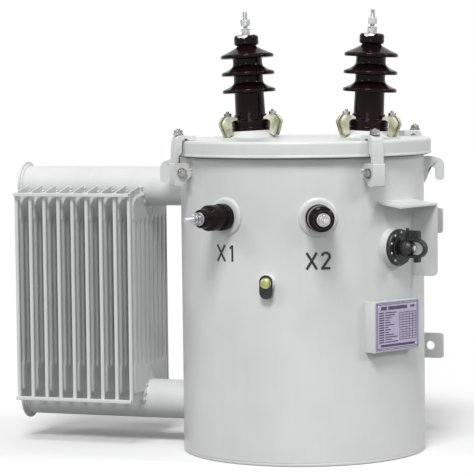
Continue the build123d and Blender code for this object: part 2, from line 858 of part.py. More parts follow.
# Tie bars along the corners of the fins, front and back
tie_y = half_depth + tie_bar_t / 2
tie_high = fin_corner_high - tie_bar_t / 2
tie_low = fin_low + tie_bar_t / 2
with BuildPart() as tie_bars:
    with BuildSketch(Plane.YZ.offset(last_fin_x - tie_bar_over)):
        with Locations((-tie_y, tie_low), (-tie_y, tie_high), (tie_y, tie_low), (tie_y, tie_high)):
            Rectangle(tie_bar_t, tie_bar_t)
    extrude(amount=first_fin_x - last_fin_x + tie_bar_over * 2)
write(tie_bars, "tie_bars")
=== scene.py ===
from math import cos, pi, radians, sin, sqrt

import bmesh
import bpy
import numpy as np
from mathutils import Matrix, Vector


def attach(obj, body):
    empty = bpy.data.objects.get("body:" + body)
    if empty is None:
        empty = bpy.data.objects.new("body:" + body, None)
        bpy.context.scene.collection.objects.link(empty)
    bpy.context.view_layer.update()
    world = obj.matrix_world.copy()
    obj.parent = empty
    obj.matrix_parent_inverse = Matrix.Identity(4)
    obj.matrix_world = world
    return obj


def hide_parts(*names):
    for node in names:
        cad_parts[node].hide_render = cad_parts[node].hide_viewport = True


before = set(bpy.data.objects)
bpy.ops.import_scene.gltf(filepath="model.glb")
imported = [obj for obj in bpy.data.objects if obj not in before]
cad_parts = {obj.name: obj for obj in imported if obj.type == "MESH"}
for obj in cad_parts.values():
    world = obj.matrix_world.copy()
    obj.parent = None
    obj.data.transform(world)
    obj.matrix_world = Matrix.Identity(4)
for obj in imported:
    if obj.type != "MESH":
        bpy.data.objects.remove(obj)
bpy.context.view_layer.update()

# The tank wall is one sheet of 5 mm steel, rolled to a cylinder and closed by an upright weld at the
# back. It is sprayed after welding with light grey enamel that lies a little wavy, like orange peel.
tank_r, wall_t, wall_low, wall_top = 0.270, 0.005, 0.008, 0.687
slow_wave, quick_wave, ridge_half, ridge_high, ridge_ripple = 0.00035, 0.0002, 0.0035, 0.0013, 0.0003
enamel_light, enamel_shade = (222, 224, 223), (213, 215, 214)


def tone(screen):
    """A colour as it shows on a screen, 0 to 255, turned into the light that a shader works with."""
    part = np.asarray(screen, float) / 255
    return tuple(np.where(part <= 0.04045, part / 12.92, ((part + 0.055) / 1.055) ** 2.4))


def new_finish(name):
    """An empty finish: the material, its node tree, its shader and the piece's own coordinates."""
    finish = bpy.data.materials.new(name)
    finish.use_nodes = True
    tree = finish.node_tree
    return finish, tree, tree.nodes["Principled BSDF"], tree.nodes.new("ShaderNodeTexCoord").outputs["Object"]


def cloudy(tree, coords, scale, low, high, stretch=1.0, spread=0.3):
    """Noise on the piece's own coordinates, squeezed upright by a stretch, and spread from a low to a high
    tone round its middle value."""
    mapping = tree.nodes.new("ShaderNodeMapping")
    mapping.inputs["Scale"].default_value = 1, 1, stretch
    noise = tree.nodes.new("ShaderNodeTexNoise")
    noise.inputs["Scale"].default_value, noise.inputs["Detail"].default_value = scale, 3.0
    ramp = tree.nodes.new("ShaderNodeValToRGB")
    for stop, at, shade in zip(ramp.color_ramp.elements, (0.5 - spread / 2, 0.5 + spread / 2), (low, high)):
        stop.position, stop.color = at, (*(np.ones(3) * shade), 1.0)
    tree.links.new(coords, mapping.inputs["Vector"])
    tree.links.new(mapping.outputs["Vector"], noise.inputs["Vector"])
    tree.links.new(noise.outputs["Fac"], ramp.inputs["Fac"])
    return ramp.outputs["Color"]


def clouded(name, colour, gloss, grain, depth, strength, veil=None, share=1.0, metal=0.0, specular=0.5):
    """A finish of four noises, each given as cloudy takes it: clouds of colour, a veil multiplied over them by
    a share, uneven roughness, and a grain that lifts the surface by up to a depth in metres."""
    finish, tree, shader, coords = new_finish(name)
    base = cloudy(tree, coords, *colour)
    if veil:
        mix = tree.nodes.new("ShaderNodeMix")
        mix.data_type, mix.blend_type = "RGBA", "MULTIPLY"
        mix.inputs["Factor"].default_value = share
        tree.links.new(base, mix.inputs[6])
        tree.links.new(cloudy(tree, coords, *veil), mix.inputs[7])
        base = mix.outputs[2]
    bump = tree.nodes.new("ShaderNodeBump")
    bump.inputs["Strength"].default_value, bump.inputs["Distance"].default_value = strength, depth
    shader.inputs["Metallic"].default_value, shader.inputs["Specular IOR Level"].default_value = metal, specular
    tree.links.new(base, shader.inputs["Base Color"])
    tree.links.new(cloudy(tree, coords, *gloss), shader.inputs["Roughness"])
    tree.links.new(cloudy(tree, coords, *grain), bump.inputs["Height"])
    tree.links.new(bump.outputs["Normal"], shader.inputs["Normal"])
    return finish


def enamel(name, light, shade):
    """Sprayed enamel: wide clouds and faint upright runs between two greys, orange peel, uneven gloss."""
    return clouded(name, (5.0, tone(shade), tone(light)), (14.0, 0.30, 0.42), (260.0, 0, 1, 1, 0.8), 0.0004, 0.18,
                   veil=(60.0, (0.93, 0.935, 0.93), 1, 0.08), share=0.3)


def weave(rows, cols, ring_rows=False, ring_cols=False):
    """Quads of a grid of points; a ringed direction joins its last row or column to its first."""
    down, over = np.meshgrid(np.arange(rows - (not ring_rows)), np.arange(cols - (not ring_cols)), indexing="ij")
    below, beside = (down + 1) % rows, (over + 1) % cols
    quads = (down * cols + over, below * cols + over, below * cols + beside, down * cols + beside)
    return np.stack(quads, -1).reshape(-1, 4)


def make(name, sheets, finish, slot, nodes=(), body="transformer", bevel=0.0, crease=38.0):
    """One piece from sheets of (points, quads): doubles merged, so that seams and poles close, faces
    turned outwards, and the piece set on its body in place of CAD nodes. A bevel rounds its edges."""
    starts = np.cumsum([0] + [len(points) for points, quads in sheets])
    points = np.concatenate([points for points, quads in sheets]).astype(np.float32)
    quads = np.concatenate([quads + start for (_, quads), start in zip(sheets, starts)]).astype(np.int32)
    mesh = bpy.data.meshes.new(name)
    mesh.vertices.add(len(points))
    mesh.vertices.foreach_set("co", points.ravel())
    mesh.loops.add(quads.size)
    mesh.loops.foreach_set("vertex_index", quads.ravel())
    mesh.polygons.add(len(quads))
    mesh.polygons.foreach_set("loop_start", np.arange(0, quads.size, 4, dtype=np.int32))
    mesh.update(calc_edges=True)
    shape = bmesh.new()
    shape.from_mesh(mesh)
    bmesh.ops.remove_doubles(shape, verts=shape.verts, dist=2e-6)
    bmesh.ops.dissolve_degenerate(shape, edges=shape.edges, dist=1e-6)
    bmesh.ops.recalc_face_normals(shape, faces=shape.faces)
    shape.to_mesh(mesh)
    shape.free()
    mesh.polygons.foreach_set("use_smooth", np.ones(len(mesh.polygons), dtype=bool))
    mesh.materials.append(finish)
    piece = bpy.data.objects.new(name, mesh)
    bpy.context.scene.collection.objects.link(piece)
    if bevel:
        edge = piece.modifiers.new("rounded edges", "BEVEL")
        edge.width, edge.segments, edge.limit_method, edge.angle_limit = bevel, 3, "ANGLE", radians(crease)
        edge.harden_normals = True
    else:
        mesh.set_sharp_from_angle(angle=radians(crease))
    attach(piece, body)
    if nodes:
        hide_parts(*nodes)
    return piece


def full_turn(count):
    """Even angles round a full turn."""
    return np.linspace(0, 2 * pi, count, endpoint=False)


def rolled_wall(turns=360, levels=32):
    """Outer skin, top edge, inner skin and bottom edge as one ring: the radius is the tank's, with two
    slow waves round it under half a millimetre deep and a weld ridge at the back."""
    turn = full_turn(turns)
    rise = np.linspace(wall_low, wall_top, levels)
    height = np.concatenate((rise, rise[::-1]))[:, None]
    outer = np.repeat((1.0, 0.0), levels)[:, None]
    wave = slow_wave * np.sin(3 * turn + 1 + 2 * height) + quick_wave * np.sin(8 * turn + 9 * height)
    ridge = np.exp(-((turn - pi / 2) * tank_r / ridge_half) ** 2)
    ridge = ridge * (ridge_high + ridge_ripple * np.sin(height * 1200))
    radius = tank_r - wall_t * (1 - outer) + outer * (wave + ridge)
    points = np.stack((radius * np.cos(turn), radius * np.sin(turn), height + 0 * turn), -1)
    return points.reshape(-1, 3), weave(2 * levels, turns, True, True)


tank_enamel = enamel("tank_enamel", enamel_light, enamel_shade)


def painted(name, sheets, node, **edges):
    """A steel piece in the tank's enamel, in place of one CAD node."""
    make(name, sheets, tank_enamel, "tank_paint", [node], **edges)


painted("rolled_wall", [rolled_wall()], "tank_wall")

# The base is a flat steel disc under the wall with a rounded lower edge, welded all round and ground
# smooth, so only a shallow line shows where the two meet. It carries the same enamel as the wall.
base_round = 0.007
upright = np.zeros(3), np.array((1.0, 0, 0)), np.array((0, 1.0, 0)), np.array((0, 0, 1.0))


def soften(corners, reach, steps=6, ring=False):
    """Round a line of corners: each becomes the quadratic curve from a reach before it to a reach after
    it, at most 0.48 of the way to its neighbours. An open line keeps its two ends."""
    corners = np.asarray(corners, float)
    back, ahead = np.roll(corners, 1, 0) - corners, np.roll(corners, -1, 0) - corners
    far = np.linalg.norm(back, axis=1), np.linalg.norm(ahead, axis=1)
    cut = np.minimum(reach, 0.48 * np.minimum(*far))
    start, end = (corners + line * (cut / length)[:, None] for line, length in zip((back, ahead), far))
    t = np.linspace(0, 1, steps)[None, :, None]
    curve = (1 - t) ** 2 * start[:, None] + 2 * t * (1 - t) * corners[:, None] + t ** 2 * end[:, None]
    if ring:
        return curve.reshape(-1, corners.shape[1])
    return np.concatenate((corners[:1], curve[1:-1].reshape(-1, corners.shape[1]), corners[-1:]))


def put(place, x, y, z):
    """Offsets along a place's right, up and outward directions, added to its origin."""
    origin, right, up, out = place
    return origin + np.asarray(x)[..., None] * right + np.asarray(y)[..., None] * up + np.asarray(z)[..., None] * out


def turned(place, outline, steps=72, wall=None):
    """An outline of (radius, distance) points carried round a place's outward axis. With a wall, the
    distance of that axis' origin from the tank's axis, no point goes deeper than the tank's surface."""
    radius, along = np.asarray(outline, float).T[..., None]
    turn = full_turn(steps)
    x, y, z = radius * np.cos(turn), radius * np.sin(turn), along + 0 * turn
    if wall is not None:
        z = np.maximum(z, np.sqrt(tank_r ** 2 - x ** 2) - wall - 0.001)
    return put(place, x, y, z).reshape(-1, 3), weave(len(outline), steps, ring_cols=True)


base_line = soften([(0, 0), (tank_r, 0), (tank_r, 0.0065), (tank_r - 0.0012, 0.0075), (tank_r - 0.0012, 0.0082),
                    (0, 0.0082)], [0, base_round, 0.0006, 0.0004, 0, 0])
painted("base_disc", [turned(upright, base_line, 240)], "tank_base")

# The lid is a disc of 6 mm steel with its rim turned down over the wall. It is pressed, so its upper
# edge is well rounded and its rim ends in a low bead. It sits on a gasket, with the rim free of the wall.
lid_r, lid_top, rim_low, lid_t, lid_round = 0.287, 0.693, 0.658, 0.006, 0.008
lid_in = lid_r - lid_t
lid_line = soften([(0, lid_top), (lid_r - 0.0006, lid_top), (lid_r - 0.0010, rim_low + 0.006),
                   (lid_r, rim_low + 0.004), (lid_r, rim_low), (lid_in, rim_low), (lid_in, lid_top - lid_t),
                   (0, lid_top - lid_t)], [0, lid_round, 0.0015, 0.0015, 0.0018, 0.0015, 0.004, 0], 9)
painted("pressed_lid", [turned(upright, lid_line, 288)], "tank_lid")

# A strip of dark rubber closes the gap between the lid's rim and the wall, as painted shade: its dark grey stands in
# for the shade in the crevice under the rim. It is pushed up from below, so only its lower edge shows as a thin dark
# line under the rim.
seal_in, seal_out, seal_low, seal_top = tank_r - 0.0004, lid_in - 0.0006, rim_low - 0.0026, rim_low + 0.008


def rubber(name, colour, pale):
    """Weathered rubber: a dark grey with paler chalky clouds, dull, with a fine grain. Under the rim its dark grey is
    painted shade.
    """
    return clouded(name, (90.0, tone(colour), tone(pale)), (50.0, 0.65, 0.85), (700.0, 0, 1), 0.0003, 0.2)


seal_line = soften([(seal_in, seal_low), (seal_out, seal_low + 0.0006), (seal_out, seal_top), (seal_in, seal_top)],
                   0.001, 4, True)
seal_points, _ = turned(upright, seal_line, 240)
# The strip's dark grey is painted shade: it stands for the dark crevice line under the lid's rim.
painted_shade_rubber = rubber("painted_shade_rubber", (62, 63, 64), (86, 87, 88))
make("rim_shade_strip", [(seal_points, weave(len(seal_line), 240, True, True))], painted_shade_rubber, "black_plastic")

# Two steel pads carry the high-voltage bushings. Each is a turned disc with a flared foot that leans
# almost three degrees outwards, welded to the lid all round with a bead that was painted over.
hv_x, hv_y, hv_lean, pad_r, pad_foot_r, pad_h = 0.13625, 0.058, radians(2.8), 0.046, 0.060, 0.015


def hv_place(side, angle=0.0):
    """The foot of a leaning bushing: outward is its axis, right points away from the lid's middle and
    turns by an angle towards the front, up lies across it."""
    axis = np.array((side * sin(hv_lean), 0, cos(hv_lean)))
    away, front = np.array((side * cos(hv_lean), 0, -sin(hv_lean))), np.array((0, -1.0, 0))
    turn = radians(angle)
    return (np.array((side * hv_x, hv_y, lid_top)), away * cos(turn) + front * sin(turn),
            front * cos(turn) - away * sin(turn), axis)


def walked(line):
    """The distance gone along a line at each of its points."""
    return np.concatenate(((0.0,), np.cumsum(np.linalg.norm(np.diff(line, axis=0), axis=1))))


def bead(path, out, size, ring=True, drop=0.0055, seed=1, rough=0.10):
    """A weld bead: a round section carried along a joint. It swells by a sine once a drop of metal and
    wanders a little at random; out is the direction away from the joint's surface. An open bead thins out
    at its ends by the root of the distance."""
    path = np.asarray(path, float)
    along = (np.roll(path, -1, 0) - np.roll(path, 1, 0)) if ring else np.gradient(path, axis=0)
    along = along / np.linalg.norm(along, axis=1, keepdims=True)
    side = np.cross(along, out)
    side = side / np.linalg.norm(side, axis=1, keepdims=True)
    up = np.cross(side, along)
    gone = walked(path)
    loose = np.random.default_rng(seed).normal(size=len(path))
    loose = np.convolve(np.concatenate((loose[-4:], loose, loose[:4])), np.ones(9) / 3, "valid")
    swell = size * (1 + rough * np.sin(2 * pi * gone / drop) + rough * 0.7 * loose)
    turn = full_turn(8)
    loops = path[:, None] + swell[:, None, None] * (np.cos(turn)[None, :, None] * side[:, None]
                                                    + np.sin(turn)[None, :, None] * up[:, None])
    if ring:
        return loops.reshape(-1, 3), weave(len(path), 8, True, True)
    thin = np.sqrt(np.clip(np.minimum(gone, gone[-1] - gone) / (2.5 * size), 0.01, 1))[:, None, None]
    return lofted(path[:, None] + (loops - path[:, None]) * thin)


def lofted(loops):
    """Closed loops of points joined one to the next; the first and the last are closed on their middle."""
    loops = np.asarray(loops, float)
    ends = np.repeat(loops[[0, -1]].mean(1, keepdims=True), loops.shape[1], 1)
    rows = np.concatenate((ends[:1], loops, ends[1:]))
    return rows.reshape(-1, 3), weave(len(rows), rows.shape[1], ring_cols=True)


def circle(radius, count):
    """Points of a circle about nothing, as right and up offsets."""
    turn = full_turn(count)
    return radius * np.cos(turn), radius * np.sin(turn)


pad_line = soften([(0, -0.006), (pad_foot_r + 0.0056, -0.006), (pad_foot_r - 0.0018, 0.0014),
                   (pad_r + 0.0024, 0.0120), (pad_r, pad_h), (0, pad_h)], [0, 0, 0.005, 0.005, 0.0015, 0])
pad_sheets = []
for side in (-1, 1):
    foot_x, foot_y = circle(pad_foot_r + 0.0004, 420)
    foot = np.stack((side * hv_x + foot_x, hv_y + foot_y, lid_top + 0.0006 + 0 * foot_x), 1)
    pad_sheets += [turned(hv_place(side), pad_line, 120), bead(foot, (0, 0, 1.0), 0.0015, seed=3 + side)]
painted("bushing_pads", pad_sheets, "hv_pads")

# The high-voltage bushings are turned porcelain with three rain sheds, dipped in a dark brown glaze
# and fired. The glaze runs thin and redder on the lips, and each stands on its pad by its flange.
glaze_dark, glaze_red = (15, 8, 10), (31, 15, 17)
flange_r, step_r, core_r, shed_r, neck_r, cap_r = 0.0443, 0.037, 0.0332, 0.060, 0.021, 0.028
shed_lows = (0.1015, 0.1405, 0.1795)


def brown_glaze(name, dark, red):
    """Fired glaze: a dark brown with redder clouds, glassy, with a faint ripple where it ran."""
    return clouded(name, (22.0, tone(dark), tone(red), 2.5, 0.7), (45.0, 0.07, 0.13), (70.0, 0, 1, 1, 0.8),
                   0.0005, 0.10, specular=0.11)


def shed_line(low):
    """One shed's outline: a flat underside, a thick round lip, and a top that slopes up to the core. The
    highest shed has no core above it, so its slope goes on to the neck under the cap."""
    lip = [(core_r, low - 0.0005), (0.0470, low + 0.0008), (0.0560, low - 0.0010), (shed_r, low),
           (shed_r, low + 0.0072)]
    if low == shed_lows[-1]:
        return lip + [(0.0490, low + 0.0118), (0.0340, low + 0.0188), (neck_r + 0.0030, low + 0.0240)]
    return lip + [(0.0515, low + 0.0102), (0.0425, low + 0.0142), (core_r + 0.0018, low + 0.0200),
                  (core_r, low + 0.0260)]


foot_line = [(0, pad_h), (flange_r - 0.0015, pad_h), (flange_r, pad_h + 0.002), (flange_r, pad_h + 0.0075),
             (flange_r - 0.0016, pad_h + 0.0090), (flange_r, pad_h + 0.0105), (flange_r, pad_h + 0.024),
             (step_r + 0.0005, pad_h + 0.0242), (step_r, pad_h + 0.037), (core_r + 0.0009, pad_h + 0.0374)]
head = shed_lows[2]
head_line = [(neck_r, head + 0.0275), (cap_r - 0.0020, head + 0.0285), (cap_r, head + 0.0330),
             (cap_r - 0.0008, head + 0.0392), (cap_r, head + 0.0455), (cap_r - 0.0030, head + 0.0506),
             (0.012, head + 0.0508), (0, head + 0.0508)]
bushing_line = soften(foot_line + sum((shed_line(low) for low in shed_lows), []) + head_line, 0.0045, 6)
porcelain_glaze = brown_glaze("porcelain_glaze", glaze_dark, glaze_red)
for word, side in (("left", -1), ("right", 1)):
    make("hv_porcelain_" + word, [turned(hv_place(side), bushing_line, 96)], porcelain_glaze, "porcelain",
         ["hv_bushing_" + word], crease=60)

# Each high-voltage terminal is a threaded stud through the bushing, set in a run of grey lead, with a lower
# nut, a washer on it and a top nut for the lead-in wire. Stud and nuts are zinc-plated and bright. The lead run is
# drawn in the same bright plating, so it is also a painted highlight on the cap's top, reaching furthest towards the
# front.
stack_low, stud_r, stud_top, stack_flat = 0.2305, 0.0055, 0.2835, 0.0093
plate_bright, plate_dull = (205, 206, 208), (168, 168, 172)


def plated(name, bright, dull, rough=(0.24, 0.42), grain=130.0, metal=1.0):
    """Plated steel: metal between two tones in small clouds, uneven gloss and fine turning marks. A thick
    passivation hides part of the metal."""
    return clouded(name, (38.0, tone(dull), tone(bright)), (90.0, *rough), (grain, 0, 1, 6), 0.0003, 0.15,
                   veil=(420.0, (0.80, 0.80, 0.82), 1), share=0.7, metal=metal)


def thread(place, radius, low, high, pitch=0.0016, steps=24):
    """A threaded rod: the radius falls by up to 0.55 of the pitch in a triangle wave, whose crest moves on
    by one pitch a turn; both ends are chamfered and closed."""
    along = np.linspace(low, high, max(12, int((high - low) / pitch * 4)))[:, None]
    turn = full_turn(steps)
    wave = np.abs((along / pitch - turn / (2 * pi)) % 1 - 0.5) * 2
    round_off = np.clip(np.minimum(along - low, high - along) + radius * 0.8, 0, radius)
    deep = np.minimum(radius - 0.55 * pitch * wave, round_off)
    return lofted(put(place, deep * np.cos(turn), deep * np.sin(turn), along + 0 * turn))


def nut(place, flat, low, high, dome=0.0):
    """A hexagon of a half width across flats, from a low to a high distance: the radius is the half width
    over the cosine of the angle from its flat, cut by a cone at both ends. A dome lifts its middle."""
    turn = full_turn(60)
    hexagon = flat / np.cos((turn + pi / 6) % (pi / 3) - pi / 6)
    cone = flat * np.array((1.02, 1.09, 2.0, 2.0, 1.09, 1.02))
    tall = high - low
    level = np.array((0, 0.07, 0.16, 0.84, 0.93, 1.0)) * tall + low
    radius = np.minimum(hexagon, cone[:, None])
    along = np.append(level, (high + dome * 0.6, high + dome))
    radius = np.concatenate((radius, radius[-1:] * 0.75, radius[-1:] * 0.4))
    return lofted(put(place, radius * np.cos(turn), radius * np.sin(turn), along[:, None] + 0 * turn))


def washer(place, radius, low, high, steps=40):
    """A flat ring's outer shape: a disc with softened edges between two distances."""
    return turned(place, soften([(0, low), (radius, low), (radius, high), (0, high)], 0.0006, 3), steps)


def lead_run_and_highlight(place, low, front):
    """Lead that ran down a cap: it follows the cap's outline from the stud out to a reach that wavers by two
    sines of the turn and is longest towards the front, one millimetre thick. Its pale metal is also a painted
    highlight on the cap, longest where that highlight lies."""
    line = np.array([(0, 0.0010), (0.0225, 0.0010), (0.0268, -0.0008), (0.0288, -0.0050), (0.0288, -0.0250)])
    gone = walked(line)
    turn = full_turn(72)
    reach = 0.0185 + 0.0135 * np.clip(np.cos(turn - front), 0, 1)
    reach = reach + 0.0022 * np.sin(5 * turn) + 0.0013 * np.sin(11 * turn + 1)
    share = np.linspace(0.02, 1, 16)[:, None] * reach
    radius, rise = np.interp(share, gone, line[:, 0]), np.interp(share, gone, line[:, 1])
    radius, rise = np.concatenate((radius, radius[-1:] - 0.0025)), np.concatenate((rise, rise[-1:] - 0.0010))
    return lofted(put(place, radius * np.cos(turn), radius * np.sin(turn), low + rise))


bright_zinc = plated("bright_zinc", plate_bright, plate_dull)
stack_sheets = []
for side in (-1, 1):
    place = hv_place(side, 20)
    # The bright run round each stud is a painted highlight on the cap's top as well as lead.
    stack_sheets += [lead_run_and_highlight(hv_place(side), stack_low, radians(90)), thread(place, stud_r, stack_low, stud_top),
                     nut(place, stack_flat, stack_low + 0.0008, stack_low + 0.0125),
                     washer(place, 0.0114, stack_low + 0.0125, stack_low + 0.0150),
                     nut(hv_place(side, 41), stack_flat, stack_low + 0.0212, stack_low + 0.0352)]
make("hv_terminal_stacks", stack_sheets, bright_zinc, "bright_steel", ["hv_terminals"])

# Three cast clamps hold each bushing down: a toe on the flange, two cheeks beside the stud and a lower web
# between them, slanting in to the foot on the pad. They are zinc castings with a yellow-green passivation.
clamp_angles, clamp_stud_at = {-1: (47, 167, 287), 1: (13, 133, 253)}, 0.05865
cheek_out, cheek_in, web_half = 0.0125, 0.0048, 0.0050
zinc_yellow, zinc_green = (228, 228, 205), (150, 152, 118)


def evenly(corners, count):
    """Points at even distances along a line of corners."""
    corners = np.asarray(corners, float)
    gone = walked(corners)
    at = np.linspace(0, gone[-1], count)
    return np.stack([np.interp(at, gone, column) for column in corners.T], 1)


def strip(place, first, second, low, high, count=44):
    """A shaped bar: the strip between two edges of (right, up) points, each run along at even distances,
    carried from a low to a high distance outwards."""
    ends = np.stack((evenly(first, count), evenly(second, count)), 1)[:, [0, 1, 1, 0]]
    return lofted(put(place, ends[..., 0], ends[..., 1], np.array((low, low, high, high)) + 0 * ends[..., 0]))


cheek_edges = (soften([(0.0400, 0.0445), (0.0470, 0.0485), (0.0685, 0.0490), (0.0772, 0.0362), (0.0778, 0.0322),
                       (0.0656, 0.0016)], [0, 0.003, 0.004, 0.003, 0.003, 0]),
               soften([(0.0400, 0.0391), (0.0490, 0.0398), (0.0578, 0.0345), (0.0570, 0.0270), (0.0538, 0.0085)],
                      [0, 0.004, 0.005, 0.004, 0]))
web_edges = (soften([(0.0405, 0.0440), (0.0468, 0.0470), (0.0535, 0.0450), (0.0680, 0.0330), (0.0690, 0.0270),
                     (0.0610, 0.0020)], 0.003),
             soften([(0.0405, 0.0393), (0.0492, 0.0394), (0.0580, 0.0340), (0.0572, 0.0265), (0.0542, 0.0085)],
                    0.003))
yellow_zinc = plated("yellow_zinc", zinc_yellow, zinc_green, (0.30, 0.48), 240.0, 0.65)
for word, side in (("left", -1), ("right", 1)):
    clamp_sheets = []
    for angle in clamp_angles[side]:
        origin, right, up, out = hv_place(side, angle)
        place = origin, right, out, up
        clamp_sheets += [strip(place, *cheek_edges, -cheek_out, -cheek_in, 36),
                         strip(place, *cheek_edges, cheek_in, cheek_out, 36),
                         strip(place, *web_edges, -web_half, web_half, 36)]
    make("flange_clamps_" + word, clamp_sheets, yellow_zinc, "yellow_zinc", ["hv_clamps_" + word], bevel=0.0012)

# Each clamp is drawn down by a nut and washer on a stud that is welded to the pad. Stud, washer and nut
# are zinc-plated steel that has gone dull.
clamp_stud_r, clamp_pitch, clamp_nut_flat, clamp_nut_low = 0.004, 0.00125, 0.0074, 0.0506
dull_zinc = plated("dull_zinc", (188, 187, 184), (112, 110, 108), (0.24, 0.42))


def moved(place, x, y):
    """The same place, moved to its right and up."""
    return put(place, x, y, 0), *place[1:]


stud_sheets = []
for side in (-1, 1):
    for angle in clamp_angles[side]:
        place = moved(hv_place(side, angle), clamp_stud_at, 0)
        stud_sheets += [thread(place, clamp_stud_r, 0.003, 0.061, clamp_pitch, 16),
                        washer(place, 0.0092, 0.0490, clamp_nut_low),
                        nut(place, clamp_nut_flat, clamp_nut_low, 0.0566)]
make("flange_clamp_studs", stud_sheets, dull_zinc, "bright_steel", ["hv_clamp_studs"])

# The lid clamps' ears are short lengths of bar welded to the wall under the rim, with the lower inner
# corner cut away. They are painted with the tank.
ear_angles, ear_w, ear_top, ear_low = (-48.5, 48.5, -136, 136), 0.030, 0.6445, 0.5955


def spot(angle, radius, height):
    """A place on the tank's side at an angle from the front: right runs along the wall, up is upright and
    outward points away from the tank's axis."""
    turn = radians(angle)
    out = np.array((sin(turn), -cos(turn), 0.0))
    return out * radius + np.array((0, 0, height)), np.array((cos(turn), sin(turn), 0.0)), upright[3], out


def radial(angle):
    """The upright plane through the tank's axis at an angle: right is the radius, up the height, and
    outward runs along the wall."""
    origin, right, up, out = spot(angle, 0.0, 0.0)
    return origin, out, up, right


def flat_plate(place, outline, low, high):
    """A plate: its outline of (right, up) points carried from a low to a high distance outwards."""
    x, y = np.asarray(outline, float).T
    return lofted([put(place, x, y, low + 0 * x), put(place, x, y, high + 0 * x)])


ear_line = soften([(0.266, ear_top), (0.311, ear_top), (0.311, ear_low), (0.294, ear_low), (0.266, 0.6212)],
                  0.0025, 4, True)
ear_sheets = []
for angle in ear_angles:
    ear_sheets.append(flat_plate(radial(angle), ear_line, -ear_w / 2, ear_w / 2))
    for edge in (-ear_w / 2, ear_w / 2):
        run = np.linspace(0.6205, 0.6435, 40)
        joint = put(radial(angle), sqrt(tank_r ** 2 - edge ** 2) + 0 * run, run, edge + 0 * run)
        ear_sheets.append(bead(joint, spot(angle, 0, 0)[3], 0.0042, False, 0.007, 11, 0.22))
painted("clamp_ears", ear_sheets, "lid_clamp_ears", bevel=0.0012)

# A hexagon bolt passes through each ear from side to side as the clamp's pivot, with a head on one side
# and a nut on the other, zinc-plated and dull.
pivot_r, pivot_z, pivot_nut_low = 0.294, 0.6235, 0.0162
pivot_sheets = []
for angle in ear_angles:
    origin, right, up, out = spot(angle, pivot_r, pivot_z)
    for way in (-1, 1):
        place = origin, out, up, way * right
        pivot_sheets += [washer(place, 0.0108, ear_w / 2, pivot_nut_low),
                         nut(place, 0.0092, pivot_nut_low, 0.0225, 0.0005)]
make("clamp_pivot_bolts", pivot_sheets, dull_zinc, "bright_steel", ["lid_clamp_pivots"])

# The clamp arms are cast hooks: a lip that lies on the lid, a rounded shoulder that stands clear of the
# rim, and a foot that stands on the ear. They are painted like the tank.
arm_w = 0.028
arm_outer = soften([(0.259, 0.7042), (0.3040, 0.7050), (0.3085, 0.6720), (0.309, ear_top)], [0, 0.012, 0.01, 0], 9)
arm_inner = soften([(0.259, lid_top), (0.2740, lid_top), (0.2830, 0.6980), (0.2910, 0.6920), (0.2912, 0.6680),
                    (0.2995, 0.6585), (0.300, ear_top)], 0.004, 6)
painted("clamp_arms", [strip(radial(angle), arm_outer, arm_inner, -arm_w / 2, arm_w / 2) for angle in ear_angles],
        "lid_clamp_arms", bevel=0.0022)

# A draw bolt runs from each ear up through the arm beside the rim. Its nut and flared washer on top pull
# the arm down on the lid.
draw_r, draw_nut_low = 0.295, 0.7080
draw_sheets = []
for angle in ear_angles:
    origin, right, up, out = spot(angle, draw_r, 0.0)
    place = origin, right, out, up
    draw_sheets += [thread(place, clamp_stud_r, ear_top, 0.719, clamp_pitch, 16),
                    washer(place, 0.0118, 0.7048, draw_nut_low), nut(place, 0.0090, draw_nut_low, 0.7160, 0.0006)]
make("clamp_draw_bolts", draw_sheets, dull_zinc, "bright_steel", ["lid_clamp_bolts"])

# The low-voltage bushings leave the tank through two low steel collars, turned rings welded to the wall
# and painted with it.
lv_angles, lv_z, collar_r, collar_h = (-20.5, 24.0), 0.532, 0.042, 0.004


def wall_ring(angle, height, radius, count):
    """A round joint on the tank's wall: a circle of right and up offsets, each set out to the surface."""
    x, y = circle(radius, count)
    return put(spot(angle, 0.0, height), x, y, np.sqrt(tank_r ** 2 - x ** 2))


collar_line = soften([(0, -0.02), (collar_r, -0.02), (collar_r, 0.0012), (collar_r - 0.0040, 0.0036),
                      (0.0360, collar_h), (0, collar_h)], [0, 0, 0.0020, 0.0040, 0.003, 0])
collar_sheets = [turned(spot(angle, tank_r, lv_z), collar_line, 96, tank_r) for angle in lv_angles]
painted("lv_collar_rings", collar_sheets, "lv_collars")

# The low-voltage bushings are small turned porcelains in the same brown glaze: a thick ring against the
# collar, a groove, a bell and a tip.
lv_ring_r, lv_tip = 0.029, 0.087
lv_line = soften([(0, collar_h), (lv_ring_r, collar_h), (lv_ring_r, 0.0228), (0.0235, 0.0236), (0.0230, 0.0345),
                  (0.0280, 0.0352), (0.0276, 0.0610), (0.0205, 0.0640), (0.0198, lv_tip), (0, lv_tip)],
                 [0, 0.0040, 0.0060, 0.002, 0.002, 0.0055, 0.0070, 0.004, 0.005, 0])
for number, angle in zip((1, 2), lv_angles):
    make("lv_porcelain_%d" % number, [turned(spot(angle, tank_r, lv_z), lv_line, 80)], porcelain_glaze, "porcelain",
         ["lv_bushing_%d" % number], crease=60)

# Each low-voltage terminal is a threaded stud with a round washer, a thick hexagon nut and a thin lock nut,
# plated bright.
lv_nut_low, lv_stud_top = 0.0890, 0.135
lv_sheets = []
for angle in lv_angles:
    place = spot(angle, tank_r, lv_z)
    lv_sheets += [washer(place, 0.0142, lv_tip, lv_nut_low), nut(place, 0.0120, lv_nut_low, 0.1005),
                  nut(place, 0.0104, 0.1012, 0.1070, 0.0004), thread(place, stud_r, lv_tip, lv_stud_top)]
make("lv_terminal_studs", lv_sheets, bright_zinc, "bright_steel", ["lv_terminals"])

